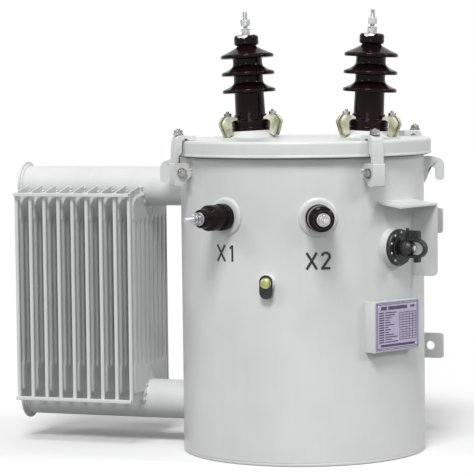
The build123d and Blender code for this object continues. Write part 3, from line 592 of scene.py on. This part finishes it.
# The plain terminal marks that such tanks carry under the low-voltage bushings are stencilled in black
# paint, one brush stroke wide. The coat is a fifth of a millimetre thick on the enamel.
stroke_w, stroke_t, mark_half = 0.0052, 0.0002, 0.0176


def black_coat(name, colour, pale):
    """Thin black paint: near black with paler worn clouds and a dull, slightly grainy surface."""
    return clouded(name, (160.0, tone(colour), tone(pale)), (60.0, 0.45, 0.6), (400.0, 0, 1), 0.0002, 0.1)


def swept(path, across, section, ring=False):
    """A section of (across, outward) points carried along a path in a plane whose normal is across."""
    path, across = np.asarray(path, float), np.asarray(across, float)
    along = (np.roll(path, -1, 0) - np.roll(path, 1, 0)) if ring else np.gradient(path, axis=0)
    side = np.cross(along / np.linalg.norm(along, axis=1, keepdims=True), across)
    loops = path[:, None] + section[None, :, 0, None] * across + section[None, :, 1, None] * side[:, None]
    if ring:
        return loops.reshape(-1, 3), weave(len(path), len(section), True, True)
    return lofted(loops)


def bar_section(width, height, corner):
    """A bar's section: a rectangle about the path with rounded corners."""
    w, h = width / 2, height / 2
    return soften([(-w, -h), (w, -h), (w, h), (-w, h)], corner, 4, True)


def stroke(angle, height, line, count=60):
    """A painted stroke: a flat section carried along a line of (right, up) points on the tank's wall."""
    x, y = evenly(line, count).T
    place = spot(angle, 0.0, height)
    path = put(place, x, y, np.sqrt(tank_r ** 2 - x ** 2) + stroke_t / 2)
    return swept(path, place[3], bar_section(2 * stroke_t + 0.0008, stroke_w, 0.0002))


left_z, right_z, cross_half = 0.4540, 0.4400, 0.0108
bow_turn = np.radians(np.linspace(168, -28, 30))
two_bow = np.stack((0.0082 * np.cos(bow_turn), 0.0088 + 0.0084 * np.sin(bow_turn)), 1)
mark_sheets = [stroke(-17.0, left_z, [(0.0010, mark_half), (0.0010, -mark_half)]),
               stroke(-17.0, left_z, soften([(0.0010, 0.0162), (-0.0015, 0.0130), (-0.0058, 0.0108)], 0.003), 20),
               stroke(27.4, right_z, np.concatenate((two_bow, [(-0.0080, -0.0155)])), 90),
               stroke(27.4, right_z, [(-0.0100, -0.0158), (0.0095, -0.0158)], 20)]
for angle, height in ((-23.2, left_z), (21.0, right_z)):
    mark_sheets += [stroke(angle, height, [(-cross_half, way * mark_half), (cross_half, -way * mark_half)])
                    for way in (-1, 1)]
stencil_black = black_coat("stencil_black", (13, 13, 14), (28, 28, 30))
make("painted_marks", mark_sheets, stencil_black, "black_plastic")

# The earth terminal stands on a short steel boss welded to the wall low on the front and painted.
earth_angle, earth_z, boss_r, boss_h = 0.9, 0.394, 0.016, 0.012
earth = spot(earth_angle, tank_r, earth_z)
boss_line = soften([(0, -0.01), (boss_r, -0.01), (boss_r, boss_h), (0, boss_h)], [0, 0, 0.0015, 0])
boss_weld = bead(wall_ring(earth_angle, earth_z, boss_r + 0.0003, 130), earth[3], 0.0018, seed=8)
painted("earth_stub", [turned(earth, boss_line, 64, tank_r), boss_weld], "earth_boss")

# An oval tag of black moulded plastic lies on the boss under the bolt. It has a raised rim and, in its
# lower half, a raised ring round a small dot.
tag_half, tag_shift, tag_z, tag_high, ring_r, ring_drop, dot_r = 0.0145, 0.011, 0.3855, 0.0152, 0.0062, 0.0135, 0.0017


def moulded(name, colour, pale):
    """Moulded black plastic: a deep grey with faint paler clouds, a fine spark-eroded grain, soft gloss."""
    return clouded(name, (30.0, tone(colour), tone(pale)), (25.0, 0.34, 0.48), (900.0, 0, 1), 0.0003, 0.2)


def oval(half, shift, count=72):
    """An oval of two half circles a shift above and below the middle, as right and up offsets."""
    x, y = circle(half, count)
    return np.stack((x, y + np.where(y >= 0, shift, -shift)), 1)


black_moulding = moulded("black_moulding", (17, 17, 19), (27, 27, 30))
tag = spot(earth_angle, tank_r, tag_z)
rim = oval(tag_half - 0.0016, tag_shift)
mark_x, mark_y = circle(ring_r, 60)
dot_line = [(0, tag_high), (dot_r, tag_high), (dot_r - 0.0005, tag_high + 0.0006), (0, tag_high + 0.0007)]
tag_sheets = [flat_plate(tag, oval(tag_half, tag_shift), boss_h, tag_high),
              bead(put(tag, rim[:, 0], rim[:, 1], tag_high + 0 * rim[:, 0]), tag[3], 0.0009, rough=0.0),
              bead(put(tag, mark_x, mark_y - ring_drop, tag_high + 0 * mark_x), tag[3], 0.0007, rough=0.0),
              turned(moved(tag, 0, -ring_drop), dot_line, 24)]
make("earth_tag", tag_sheets, black_moulding, "black_plastic", ["earth_plate"])

# The earth bolt is a domed hexagon screw with a washer, yellow-zinc plated, screwed into the boss through
# the tag's upper half.
screw_seat = tag_high + 0.0016
olive_zinc = plated("olive_zinc", (196, 198, 142), (140, 146, 92), (0.30, 0.46), 130.0, 0.8)
make("earth_screw", [washer(earth, 0.0118, tag_high, screw_seat), nut(earth, 0.0098, screw_seat, 0.0235, 0.0022)],
     olive_zinc, "yellow_zinc", ["earth_bolt"])

# The tap changer sits on a turned steel ring welded to the wall on the right, painted with the tank.
tap_angle, tap_z, mount_r, mount_h = 64, 0.4615, 0.043, 0.010
tap = spot(tap_angle, tank_r, tap_z)
mount_line = soften([(0, -0.02), (mount_r, -0.02), (mount_r, mount_h), (0, mount_h)], [0, 0, 0.0022, 0])
mount_weld = bead(wall_ring(tap_angle, tap_z, mount_r + 0.0003, 300), tap[3], 0.0020, seed=9)
painted("tap_mount_ring", [turned(tap, mount_line, 96, tank_r), mount_weld], "tap_boss")

# The dial is a black moulded disc with a chamfered edge, a sunk track and a flat land at the bottom. Five
# white marks, 36 degrees apart, run from the top round to the lower left.
dial_r, dial_top, marks_r = 0.0395, 0.019, 0.0330
dial_line = soften([(0, mount_h), (dial_r, mount_h), (dial_r, dial_top - 0.0030), (dial_r - 0.0022, dial_top),
                    (0.0280, dial_top), (0.0272, dial_top - 0.0012), (0.0225, dial_top - 0.0012), (0.0215, dial_top),
                    (0, dial_top)], 0.0008, 4)
land = [(-0.022, -0.0325), (0.022, -0.0325), (0.0235, -0.0295), (-0.0235, -0.0295)]
make("tap_dial_disc", [turned(tap, dial_line, 96), flat_plate(tap, land, dial_top - 0.001, dial_top + 0.0007)],
     black_moulding, "black_plastic", ["tap_dial"])
spot_line = soften([(0, dial_top - 0.0006), (0.0027, dial_top - 0.0006), (0.0026, dial_top + 0.0004),
                    (0, dial_top + 0.0006)], 0.0003, 3)
mark_sheets = []
for angle in np.radians((90, 126, 162, 198, 234)):
    middle = moved(tap, marks_r * np.cos(angle), marks_r * np.sin(angle))
    mark_sheets.append(turned(middle, spot_line, 28))
mark_white = enamel("mark_white", (238, 238, 236), (224, 225, 224))
make("tap_dial_marks", mark_sheets, mark_white, "tank_paint")

# The handle is one black moulding that turns by hand: a hub and cone on the shaft, a D-shaped bow to
# grip, a pointer at the top, and a tab and a lug drilled for a padlock or seal.
bow_half, bow_root, bow_flat, bow_nose, bow_w = 0.0175, 0.306, 0.333, 0.3555, 0.013
hub_low, hub_r, hub_neck = 0.0195, 0.0200, 0.0150
hub_line = soften([(0, hub_low), (hub_neck, hub_low), (hub_neck, 0.0308), (hub_r, 0.0314), (hub_r, 0.0425),
                   (0.0165, 0.0434), (0.0125, 0.0505), (0.0090, 0.0536), (0, 0.0540)], 0.0014, 4)
tap_plane = radial(tap_angle)
swing = np.linspace(0, pi, 40)
bow_path = np.concatenate((
    evenly([(bow_root, -bow_half), (bow_root, bow_half)], 14)[1:-1],
    evenly(soften([(bow_root, bow_half - 0.004), (bow_root, bow_half), (bow_flat, bow_half)], 0.003), 14)[:-1],
    np.stack((bow_flat + (bow_nose - bow_flat) * np.sin(swing), bow_half * np.cos(swing)), 1),
    evenly(soften([(bow_flat, -bow_half), (bow_root, -bow_half), (bow_root, -bow_half + 0.004)], 0.003), 14)[1:-1]))


def eyed_plate(place, outline, eye, eye_r, low, high):
    """A drilled plate: a ring of four rows, the outline low and high and the hole high and low, each hole
    point at the angle of its outline point seen from the hole's middle."""
    x, y = np.asarray(outline, float).T
    turn = np.arctan2(y - eye[1], x - eye[0])
    hole_x, hole_y = eye[0] + eye_r * np.cos(turn), eye[1] + eye_r * np.sin(turn)
    rows = [put(place, x, y, low + 0 * x), put(place, x, y, high + 0 * x),
            put(place, hole_x, hole_y, high + 0 * x), put(place, hole_x, hole_y, low + 0 * x)]
    return np.concatenate(rows), weave(4, len(x), True, True)


def lug_outline(left, low, right, high, corner):
    """A rectangle with rounded corners, divided finely enough for a hole inside it."""
    ring = soften([(left, low), (right, low), (right, high), (left, high)], corner, 6, True)
    return evenly(np.concatenate((ring, ring[:1])), 65)[:-1]


bow = put(tap_plane, bow_path[:, 0], bow_path[:, 1] + tap_z, 0 * bow_path[:, 0])
handle_sheets = [turned(tap, hub_line, 72), swept(bow, tap_plane[3], bar_section(bow_w, 0.007, 0.0030), ring=True),
                 flat_plate(tap_plane, [(0.3012, tap_z + 0.014), (0.3128, tap_z + 0.014), (0.3082, tap_z + 0.0428),
                                        (0.3058, tap_z + 0.0428)], -0.0040, 0.0040)]
for left, right, hole in ((0.3070, 0.3235, 0.3145), (0.3225, 0.3400, 0.3315)):
    handle_sheets.append(eyed_plate(tap_plane, lug_outline(left, tap_z + 0.0150, right, tap_z + 0.0380, 0.0050),
                                    (hole, tap_z + 0.0290), 0.0034, -0.0050, 0.0050))
handle_sheets.append(eyed_plate(tap_plane, lug_outline(0.3260, tap_z - 0.0300, 0.3400, tap_z - 0.0165, 0.0030),
                                (0.3330, tap_z - 0.0245), 0.0020, -0.0045, 0.0045))
make("tap_bow_handle", handle_sheets, black_moulding, "black_plastic", ["tap_handle"], body="handle")

# A slotted cheese-head screw, plated bright, holds the handle on its shaft at the tip of the cone.
screw_r, screw_low, screw_top, slot_half, slot_deep = 0.0055, 0.0535, 0.0570, 0.0008, 0.0014
reach, around = np.linspace(0, screw_r, 14)[:, None], full_turn(64)
slot_dip = slot_deep / (1 + np.exp((np.abs(reach * np.sin(around)) - slot_half) / 0.00008))
rise = np.concatenate((screw_top - 0.0010 * (reach / screw_r) ** 3 - slot_dip, np.full((2, 64), screw_low)))
reach = np.concatenate((reach, ((screw_r,), (0.0,))))
screw = put(tap, reach * np.cos(around), reach * np.sin(around), rise).reshape(-1, 3)
make("tap_centre_screw", [(screw, weave(16, 64, ring_cols=True))], bright_zinc, "bright_steel", ["tap_screw"],
     body="handle")

# The hood is two plates of 4 mm steel welded to the wall, a roof and a cheek, that keep rain and ice off
# the tap changer. The roof falls nine degrees outwards and its front edge is straight between its corners.
hood_t, hood_z, hood_r, cheek_low, hood_fall = 0.004, 0.5475, 0.328, 0.395, sin(radians(9)) / cos(radians(9))


def around_tank(angle, radius):
    """Points at an angle from the front and a radius from the tank's axis, seen from above."""
    return np.stack((radius * np.sin(np.radians(angle)), -radius * np.cos(np.radians(angle))), -1)


def roof_rise(points):
    """How far the sloping roof is above its front edge: the distance back from that edge times its fall."""
    return (hood_r - points @ tap[3][:2]) * hood_fall


left_turn, right_turn, hood_root = 56.3, 80.0, tank_r - 0.001
left_corner, right_corner = around_tank(left_turn, hood_r), around_tank(right_turn, hood_r)
outer_edge = np.concatenate((evenly([around_tank(53.0, tank_r), left_corner], 6)[1:],
                             evenly([left_corner, right_corner], 24)[1:]))
inner_turn = np.concatenate((np.linspace(53.2, left_turn, 5), np.linspace(left_turn, right_turn, 24)[1:]))
inner_edge = around_tank(inner_turn, hood_root)
roof = np.stack((inner_edge, outer_edge, outer_edge, inner_edge), 1)
roof_z = np.array((hood_z, hood_z, hood_z + hood_t, hood_z + hood_t)) + roof_rise(roof)
seam = around_tank(np.linspace(53.6, 79.6, 160), tank_r + 0.0003)
roof_bead = bead(np.column_stack((seam, hood_z + hood_t + roof_rise(seam))), (0, 0, 1.0), 0.0020, False, seed=12)
painted("hood_roof", [lofted(np.concatenate((roof, roof_z[..., None]), -1)), roof_bead], "tap_hood_top", bevel=0.0009)
cheek_top = hood_z + roof_rise(around_tank(np.full(2, right_turn), np.array((hood_root, hood_r))))
cheek_corner = soften([(hood_r, hood_z - 0.02), (hood_r, cheek_low), (tank_r + 0.01, cheek_low)], 0.016, 9)
cheek_line = np.concatenate(([(hood_root, cheek_top[0]), (hood_r, cheek_top[1])], cheek_corner,
                             [(hood_root, cheek_low)]))
painted("hood_cheek", [flat_plate(radial(right_turn), cheek_line, -hood_t, 0.0)], "tap_hood_side", bevel=0.0009)

# The rating plate's bracket is one strip of 2.5 mm steel bent to a flat U, open above and below, with its
# two legs welded to the wall. It is painted with the tank.
plate_angle, plate_z, bracket_w, bracket_h, bracket_t, bracket_out = 61.0, 0.2955, 0.138, 0.110, 0.0025, 0.019
plate = spot(plate_angle, tank_r, plate_z)
leg, web, leg_root = bracket_w / 2 - bracket_t / 2, bracket_out - bracket_t / 2, -0.0105
bend = soften([(-leg, leg_root), (-leg, web), (leg, web), (leg, leg_root)], 0.005, 7)
bracket = swept(put(plate, bend[:, 0], 0 * bend[:, 0], bend[:, 1]), plate[2],
                bar_section(bracket_h, bracket_t, 0.0006))
painted("plate_bracket", [bracket], "nameplate_holder")

# The rating plate is a sheet of anodised aluminium, pale violet, held by four domed rivets. It is left
# blank: a frame, empty heading and foot bands, empty rows on the left and an empty table are printed on it.
sheet_w, sheet_h, sheet_top, line_w, table_w = 0.134, 0.106, 0.0202, 0.0011, 0.0014
frame_x, frame_y, rows_low, rows_top = 0.0640, 0.0500, -0.0335, 0.0290
table_left, table_right, table_low, table_top = 0.0070, 0.0575, -0.0310, 0.0270


def anodised(name, light, shade):
    """Anodised sheet: brushed along its length, metal between two close tones with a soft gloss."""
    return clouded(name, (90.0, tone(shade), tone(light), 9), (60.0, 0.38, 0.50), (500.0, 0, 1, 8), 0.0002, 0.12,
                   veil=(26.0, (0.88, 0.87, 0.89), 1), share=0.8, metal=0.15)


def inked(left, low, right, high):
    """A printed bar on the rating plate between two corners, right and up, an eighth of a millimetre proud."""
    return flat_plate(plate, [(left, low), (right, low), (right, high), (left, high)], sheet_top - 0.0003,
                      sheet_top + 0.00012)


violet_anodised = anodised("violet_anodised", (196, 189, 213), (180, 173, 199))
half_w, half_h = sheet_w / 2, sheet_h / 2
sheet = flat_plate(plate, lug_outline(-half_w, -half_h, half_w, half_h, 0.003), bracket_out, sheet_top)
make("blank_rating_plate", [sheet], violet_anodised, "plate_aluminium", ["nameplate"], bevel=0.0003)
lines = []
for x in (-frame_x, -0.0610, 0.0610, frame_x):
    lines.append(inked(x - line_w / 2, -frame_y, x + line_w / 2, frame_y))
for y in (-frame_y, -0.0470, 0.0470, frame_y):
    lines.append(inked(-frame_x, y - line_w / 2, frame_x, y + line_w / 2))
for left, low, right, high in ((-0.0500, 0.0350, -0.0330, 0.0425), (-0.0285, 0.0350, 0.0300, 0.0425),
                               (0.0400, 0.0365, 0.0530, 0.0415), (-0.0520, -0.0440, 0.0540, -0.0385)):
    lines.append(inked(left, low, right, high))
row_ends = (-0.004, -0.008, -0.018, -0.026, -0.022, -0.010, -0.028, -0.020, -0.026, -0.012, 0.000, -0.016, 0.002)
for y, end in zip(np.linspace(rows_top, rows_low, 13), row_ends):
    lines += [inked(-0.0565, y - 0.0015, -0.0410, y + 0.0015), inked(-0.0380, y - 0.0012, end, y + 0.0012)]
for y in np.linspace(table_top, table_low, 12):
    lines.append(inked(table_left, y - table_w / 2, table_right, y + table_w / 2))
for x in (table_left, 0.0170, 0.0270, 0.0370, 0.0470, table_right):
    lines.append(inked(x - table_w / 2, table_low, x + table_w / 2, table_top))
plate_ink = black_coat("plate_ink", (66, 57, 84), (88, 78, 106))
make("blank_table_lines", lines, plate_ink, "plate_aluminium")
rivet_x, rivet_y, rivet_r = 0.0575, 0.0435, 0.0025
rivet_line = soften([(0, sheet_top - 0.0005), (rivet_r, sheet_top - 0.0005), (rivet_r - 0.0002, sheet_top + 0.0011),
                     (0, sheet_top + 0.0015)], 0.001)
rivets = []
for x, y in ((-rivet_x, -rivet_y), (rivet_x, -rivet_y), (-rivet_x, rivet_y), (rivet_x, rivet_y)):
    rivets.append(turned(moved(plate, x, y), rivet_line, 24))
make("plate_rivets", rivets, bright_zinc, "bright_steel")

# The lifting hooks are cut from 10 mm plate, curved fingers that open downwards, welded edge-on to the
# wall under the rim on both sides and painted.
hook_t = 0.010
hook_outer = soften([(0.262, 0.650), (0.2920, 0.650), (0.3160, 0.641), (0.3160, 0.599), (0.3070, 0.596)],
                    [0, 0.016, 0.022, 0.007, 0], 9)
hook_inner = soften([(0.262, 0.590), (0.2715, 0.590), (0.2805, 0.607), (0.2815, 0.6252), (0.2960, 0.6252),
                     (0.2968, 0.598), (0.3070, 0.596)], [0, 0.004, 0.010, 0.008, 0.010, 0.006, 0], 9)
for word, angle in (("left", -72), ("right", 108)):
    hook_sheets = [strip(radial(angle), hook_outer, hook_inner, -hook_t / 2, hook_t / 2, 60)]
    for edge in (-hook_t / 2, hook_t / 2):
        run = np.linspace(0.591, 0.649, 90)
        joint = put(radial(angle), tank_r + 0 * run, run, edge + 0 * run)
        hook_sheets.append(bead(joint, spot(angle, 0, 0)[3], 0.0023, False, seed=14))
    painted("hook_" + word, hook_sheets, "lifting_hook_" + word, bevel=0.0012)

# The pole lugs are flat bars of 10 mm steel at the back, two at the top and two at the bottom, drilled
# for the pole bolts, welded to the wall on both faces and painted.
lug_y, lug_t, lug_h, lug_out, hole_x, hole_r = 0.199985, 0.010, 0.057, 0.2725, 0.243, 0.010
for word, height in (("upper", 0.499), ("lower", 0.213)):
    lug_sheets = []
    for side in (-1, 1):
        place = np.array((0, lug_y, 0)), np.array((side, 0.0, 0)), upright[3], np.array((0, 1.0, 0))
        outline = lug_outline(0.1760, height - lug_h / 2, lug_out, height + lug_h / 2, 0.006)
        lug_sheets.append(eyed_plate(place, outline, (hole_x, height), hole_r, -lug_t / 2, lug_t / 2))
        for face in (-lug_t / 2, lug_t / 2):
            run = np.linspace(height - lug_h / 2 + 0.001, height + lug_h / 2 - 0.001, 80)
            joint = put(place, sqrt(tank_r ** 2 - (lug_y + face) ** 2) + 0 * run, run, face + 0 * run)
            lug_sheets.append(bead(joint, (side * 0.7, np.sign(face) * 0.7, 0), 0.0026, False, seed=15))
    painted("drilled_lugs_" + word, lug_sheets, "pole_lugs_" + word, bevel=0.0012)

# The headers are two lengths of 89 mm steel pipe, saddled to the tank's wall and welded with a coarse
# bead. Oil runs through them to the fins. They are painted with the tank.
pipe_r, pipe_end, pipe_zs = 0.0445, 0.6626, (("upper", 0.5845), ("lower", 0.098))


def pipe_place(height):
    """A header's axis: outward runs from the tank's axis to the left, right to the back, up is upright."""
    return np.array((0, 0, height)), np.array((0, 1.0, 0)), upright[3], np.array((-1.0, 0, 0))


for word, height in pipe_zs:
    place = pipe_place(height)
    pipe_line = [(0, 0.2), (pipe_r, 0.2), *((pipe_r, far) for far in np.linspace(0.275, pipe_end, 24)), (0, pipe_end)]
    x, y = circle(pipe_r + 0.0012, 340)
    saddle = put(place, x, y, np.sqrt(tank_r ** 2 - x ** 2) + 0.001)
    pipe_weld = bead(saddle, (-1.0, 0, 0), 0.0042, drop=0.008, seed=20, rough=0.13)
    painted("header_pipe_" + word, [turned(place, pipe_line, 120, 0.0), pipe_weld], "header_" + word)

# Each header is closed by a flat disc, a little larger than the pipe so that the weld sits in the corner
# behind it.
cap_disc_r, cap_disc_t = 0.0545, 0.005
disc_sheets = []
for word, height in pipe_zs:
    place = pipe_place(height)
    disc_line = soften([(0, pipe_end), (cap_disc_r, pipe_end), (cap_disc_r, pipe_end + cap_disc_t),
                        (0, pipe_end + cap_disc_t)], [0, 0.0012, 0.0012, 0])
    x, y = circle(pipe_r + 0.001, 340)
    disc_weld = bead(put(place, x, y, pipe_end - 0.0005 + 0 * x), (-1.0, 0, 0), 0.0032, seed=24)
    disc_sheets += [turned(place, disc_line, 120), disc_weld]
painted("header_end_discs", disc_sheets, "header_caps")

# Nine hollow fins hang on the headers. Each is two pressed steel sheets seam-welded round the edge: rolled
# upright edges, a flat seam, a raised panel with upright flutes, and a weld bead round each header.
fin_first, fin_pitch, fin_half, fin_seam, fin_panel = -0.370, 0.0342, 0.119, 0.0015, 0.0060
pipe_clear, corner_top, apex_top, fin_low = 0.0448, 0.573, 0.587, 0.101
pipe_top, pipe_bottom = (height for word, height in pipe_zs)
seam_w, end_seam, panel_round, foot_round, edge_roll = 0.0130, 0.016, 0.022, 0.010, 0.0044
flute_pitch, flute_deep, flute_wide, flute_low, flute_top = 0.0262, 0.0042, 0.0058, 0.182, 0.511
flute_bow, flute_fade, fin_weld_r, lump_r = 0.012, 0.006, 0.0455, 0.0465
vee_drop, vee_slope, vee_half, vee_wide, vee_deep = 0.026, 0.95, 0.034, 0.003, 0.0014


def smooth(value, low, high):
    """A step from 0 to 1 between two values with level ends."""
    t = np.clip((value - low) / (high - low), 0, 1)
    return t * t * (3 - 2 * t)


def inside_round(x, y, corner):
    """Distance inside an edge pair: the lesser of two distances, with a round corner where both are small."""
    return np.where(np.maximum(x, y) < corner, corner - np.hypot(corner - x, corner - y), np.minimum(x, y))


def fin(x_middle, seed):
    """Two faces over one grid of depth and height. The height runs from the lower to the upper edge, which
    slopes up to the pipe, and both go round the pipes. The half thickness is the seam's, plus the panel's
    step inside the seam, less a bell curve of the depth for each flute between its rounded ends and a
    shallow vee beside each pipe. The two upright edges are rolled: there it is that of a circle."""
    slope = np.concatenate((np.linspace(fin_half, fin_half - 2 * edge_roll, 11),
                            np.linspace(fin_half - 2 * edge_roll, pipe_clear + 0.0002, 32)[1:]))
    across = np.concatenate((-slope, pipe_clear * np.sin(np.linspace(-pi / 2, pi / 2, 37))[1:-1], slope[::-1]))
    away = np.abs(across)
    edge = corner_top + (apex_top - corner_top) * np.clip((fin_half - away) / (fin_half - pipe_clear), 0, 1)
    bow = np.sqrt(np.clip(pipe_clear ** 2 - away ** 2, 0, None))
    top = np.where(away < pipe_clear, pipe_top - bow, edge)
    low = np.where(away < pipe_clear, np.maximum(pipe_bottom + bow, fin_low), fin_low)
    steps = ((0, 0.1, 14), (0.1, 0.22, 16), (0.22, 0.8, 6), (0.8, 0.9, 14), (0.9, 1.0, 17))
    lengths = [np.linspace(start, stop, count, endpoint=False) for start, stop, count in steps]
    along = np.concatenate((*lengths, (1.0,)))[:, None]
    z = low + along * (top - low)
    y = across + 0 * z
    away = away + 0 * z
    side = fin_half - seam_w - away
    inside = np.minimum(inside_round(side, edge - end_seam - z, panel_round),
                        inside_round(side, z - fin_low - end_seam, foot_round))
    panel = smooth(inside, -0.001, 0.0045)
    off = (across + flute_pitch / 2) % flute_pitch - flute_pitch / 2
    flute = np.exp(-(off / flute_wide) ** 2) * (np.abs(across) < 4 * flute_pitch)
    end = flute_bow * (off / (flute_pitch / 2)) ** 2
    flute = flute * smooth(z, flute_low - flute_fade + end, flute_low + flute_fade + end)
    flute = flute * smooth(-z, -(flute_top + flute_fade - end), -(flute_top - flute_fade - end))
    rise = away * vee_slope - pipe_clear - vee_drop
    vee = np.minimum(np.abs(pipe_top + rise - z), np.abs(z - pipe_bottom + rise))
    crease = np.exp(-(vee / vee_wide) ** 2) * (away < vee_half)
    half = fin_seam + panel * (fin_panel - fin_seam - flute_deep * flute - vee_deep * crease)
    rolled = np.sqrt(np.clip(edge_roll ** 2 - (fin_half - away - edge_roll) ** 2, 0, None))
    half = np.where(fin_half - away < edge_roll, rolled, np.maximum(half, rolled))
    faces = np.concatenate((np.stack((x_middle + half, y, z), -1), np.stack((x_middle - half, y, z), -1)[:, ::-1]), 1)
    rows, cols = faces.shape[:2]
    shut = np.arange(cols // 2 - 1)
    shut = np.stack((shut, shut + 1, cols - 2 - shut, cols - 1 - shut), 1)
    quads = np.concatenate((weave(rows, cols, ring_cols=True), shut, shut + (rows - 1) * cols))
    turn = np.linspace(-0.06, pi + 0.06, 200)
    sheets = [(faces.reshape(-1, 3), quads)]
    for height, way in ((pipe_top, -1), (pipe_bottom, 1)):
        away_out = np.stack((0 * turn, np.cos(turn), way * np.sin(turn)), 1)
        ring = np.array((x_middle, 0, height)) + fin_weld_r * away_out
        sheets.append(bead(ring, away_out, 0.0046, False, 0.007, seed, 0.16))
    return sheets


def weld_lumps(height, way, seed):
    """Rough weld in the corner of the first fin and a header: a thick bead of long uneven drops round the
    front third of the pipe's side towards the fin."""
    turn = np.linspace(-0.12, 1.05, 120)
    round_pipe = np.stack((0 * turn, -np.cos(turn), -way * np.sin(turn)), 1)
    path = np.array((fin_first + 0.0035, 0, height)) + lump_r * round_pipe
    return bead(path, (0.9, 0, 0.2), 0.0044, False, 0.019, seed, 0.30)


for number in range(9):
    sheets = fin(fin_first - fin_pitch * number, 30 + number)
    if number == 0:
        sheets += [weld_lumps(pipe_top, 1, 51), weld_lumps(pipe_bottom, -1, 52)]
    painted("fin_panel_%d" % (number + 1), sheets, "radiator_fin_%d" % (number + 1), crease=50)

# Four square bars tie the fins' corners together, front and back, top and bottom. Each is tacked to every
# fin and painted.
tie_size, tie_y, tie_zs, tie_ends = 0.008, 0.123, (0.105, 0.569), (-0.6466, -0.367)
tie_sheets = []
for y in (-tie_y, tie_y):
    for z in tie_zs:
        run = evenly([(tie_ends[0], y, z), (tie_ends[1], y, z)], 12)
        tie_sheets.append(swept(run, (0, 0, 1.0), bar_section(tie_size, tie_size, 0.0010)))
painted("tie_rods", tie_sheets, "tie_bars")

# The part stands alone on a plain white floor that keeps its shadow. To everything but the camera and
# shiny surfaces the floor is a mid grey, so that undersides stay as dark as in the photo.
floor_white, floor_grey, floor_half = 0.92, 0.20, 20.0
floor_mesh = bpy.data.meshes.new("studio_floor")
floor_mesh.from_pydata([(-floor_half, -floor_half, 0), (floor_half, -floor_half, 0), (floor_half, floor_half, 0),
                        (-floor_half, floor_half, 0)], [], [(0, 1, 2, 3)])
floor = bpy.data.objects.new("studio_floor", floor_mesh)
bpy.context.scene.collection.objects.link(floor)


def seen_directly(tree):
    """1 for what the camera sees, directly or in a shiny or clear surface, and 0 for light that lights."""
    path = tree.nodes.new("ShaderNodeLightPath")
    total = path.outputs["Is Camera Ray"]
    for kind in ("Is Glossy Ray", "Is Transmission Ray"):
        add = tree.nodes.new("ShaderNodeMath")
        add.operation, add.use_clamp = "ADD", True
        tree.links.new(total, add.inputs[0])
        tree.links.new(path.outputs[kind], add.inputs[1])
        total = add.outputs[0]
    return total


floor_finish, tree, shader, coords = new_finish("studio_floor")
choice = tree.nodes.new("ShaderNodeMix")
choice.data_type = "RGBA"
choice.inputs[6].default_value = (floor_grey, floor_grey, floor_grey, 1)
choice.inputs[7].default_value = (floor_white, floor_white, floor_white, 1)
tree.links.new(seen_directly(tree), choice.inputs["Factor"])
tree.links.new(choice.outputs[2], shader.inputs["Base Color"])
shader.inputs["Roughness"].default_value = 0.9
floor_mesh.materials.append(floor_finish)

# Soft studio light: an even sky, a broad key from above the camera, a weaker lamp on either side and a
# weak fill from low in front. The background is white to the camera.
sky_strength, white_strength = 0.37, 1.0
world = bpy.data.worlds.new("studio_sky")
bpy.context.scene.world = world
world.use_nodes = True
tree = world.node_tree
sky, white = tree.nodes["Background"], tree.nodes.new("ShaderNodeBackground")
for glow, strength in ((sky, sky_strength), (white, white_strength)):
    glow.inputs["Color"].default_value, glow.inputs["Strength"].default_value = (1, 1, 1, 1), strength
either = tree.nodes.new("ShaderNodeMixShader")
tree.links.new(seen_directly(tree), either.inputs[0])
tree.links.new(sky.outputs[0], either.inputs[1])
tree.links.new(white.outputs[0], either.inputs[2])
tree.links.new(either.outputs[0], tree.nodes["World Output"].inputs["Surface"])
for name, azimuth, rise, power, spread in (("key_light", 9, 52, 2.08, 20), ("left_light", -50, 30, 0.43, 14),
                                            ("right_light", 90, 30, 0.70, 14), ("fill_light", 5, 15, 0.22, 14)):
    lamp = bpy.data.lights.new(name, "SUN")
    lamp.energy, lamp.angle = power, radians(spread)
    shine = bpy.data.objects.new(name, lamp)
    turn, lift = radians(azimuth), radians(rise)
    from_there = Vector((sin(turn) * cos(lift), -cos(turn) * cos(lift), sin(lift)))
    shine.rotation_euler = from_there.to_track_quat("Z", "Y").to_euler()
    bpy.context.scene.collection.objects.link(shine)

# The camera stands about five metres away, seventeen degrees to the right of the front and a little
# above the lid, with a long lens and a slight roll.
camera_far, camera_turn, camera_z, camera_roll = 5.112, radians(17), 0.836, radians(0.62)
aim, lens = Vector((-0.140, -0.043, 0.4733)), 174.4
eye = Vector((camera_far * sin(camera_turn), -camera_far * cos(camera_turn), camera_z))
ahead = (aim - eye).normalized()
level = ahead.cross(Vector((0, 0, 1))).normalized()
rise = level.cross(ahead)
right, up = level * cos(camera_roll) - rise * sin(camera_roll), rise * cos(camera_roll) + level * sin(camera_roll)
view = bpy.data.cameras.new("photo_camera")
view.lens, view.sensor_width, view.clip_end = lens, 36.0, 100.0
camera = bpy.data.objects.new("photo_camera", view)
camera.matrix_world = Matrix((right, up, -ahead)).transposed().to_4x4()
camera.location = eye
bpy.context.scene.collection.objects.link(camera)
bpy.context.scene.camera = camera
bpy.context.scene.view_settings.view_transform = "Standard"
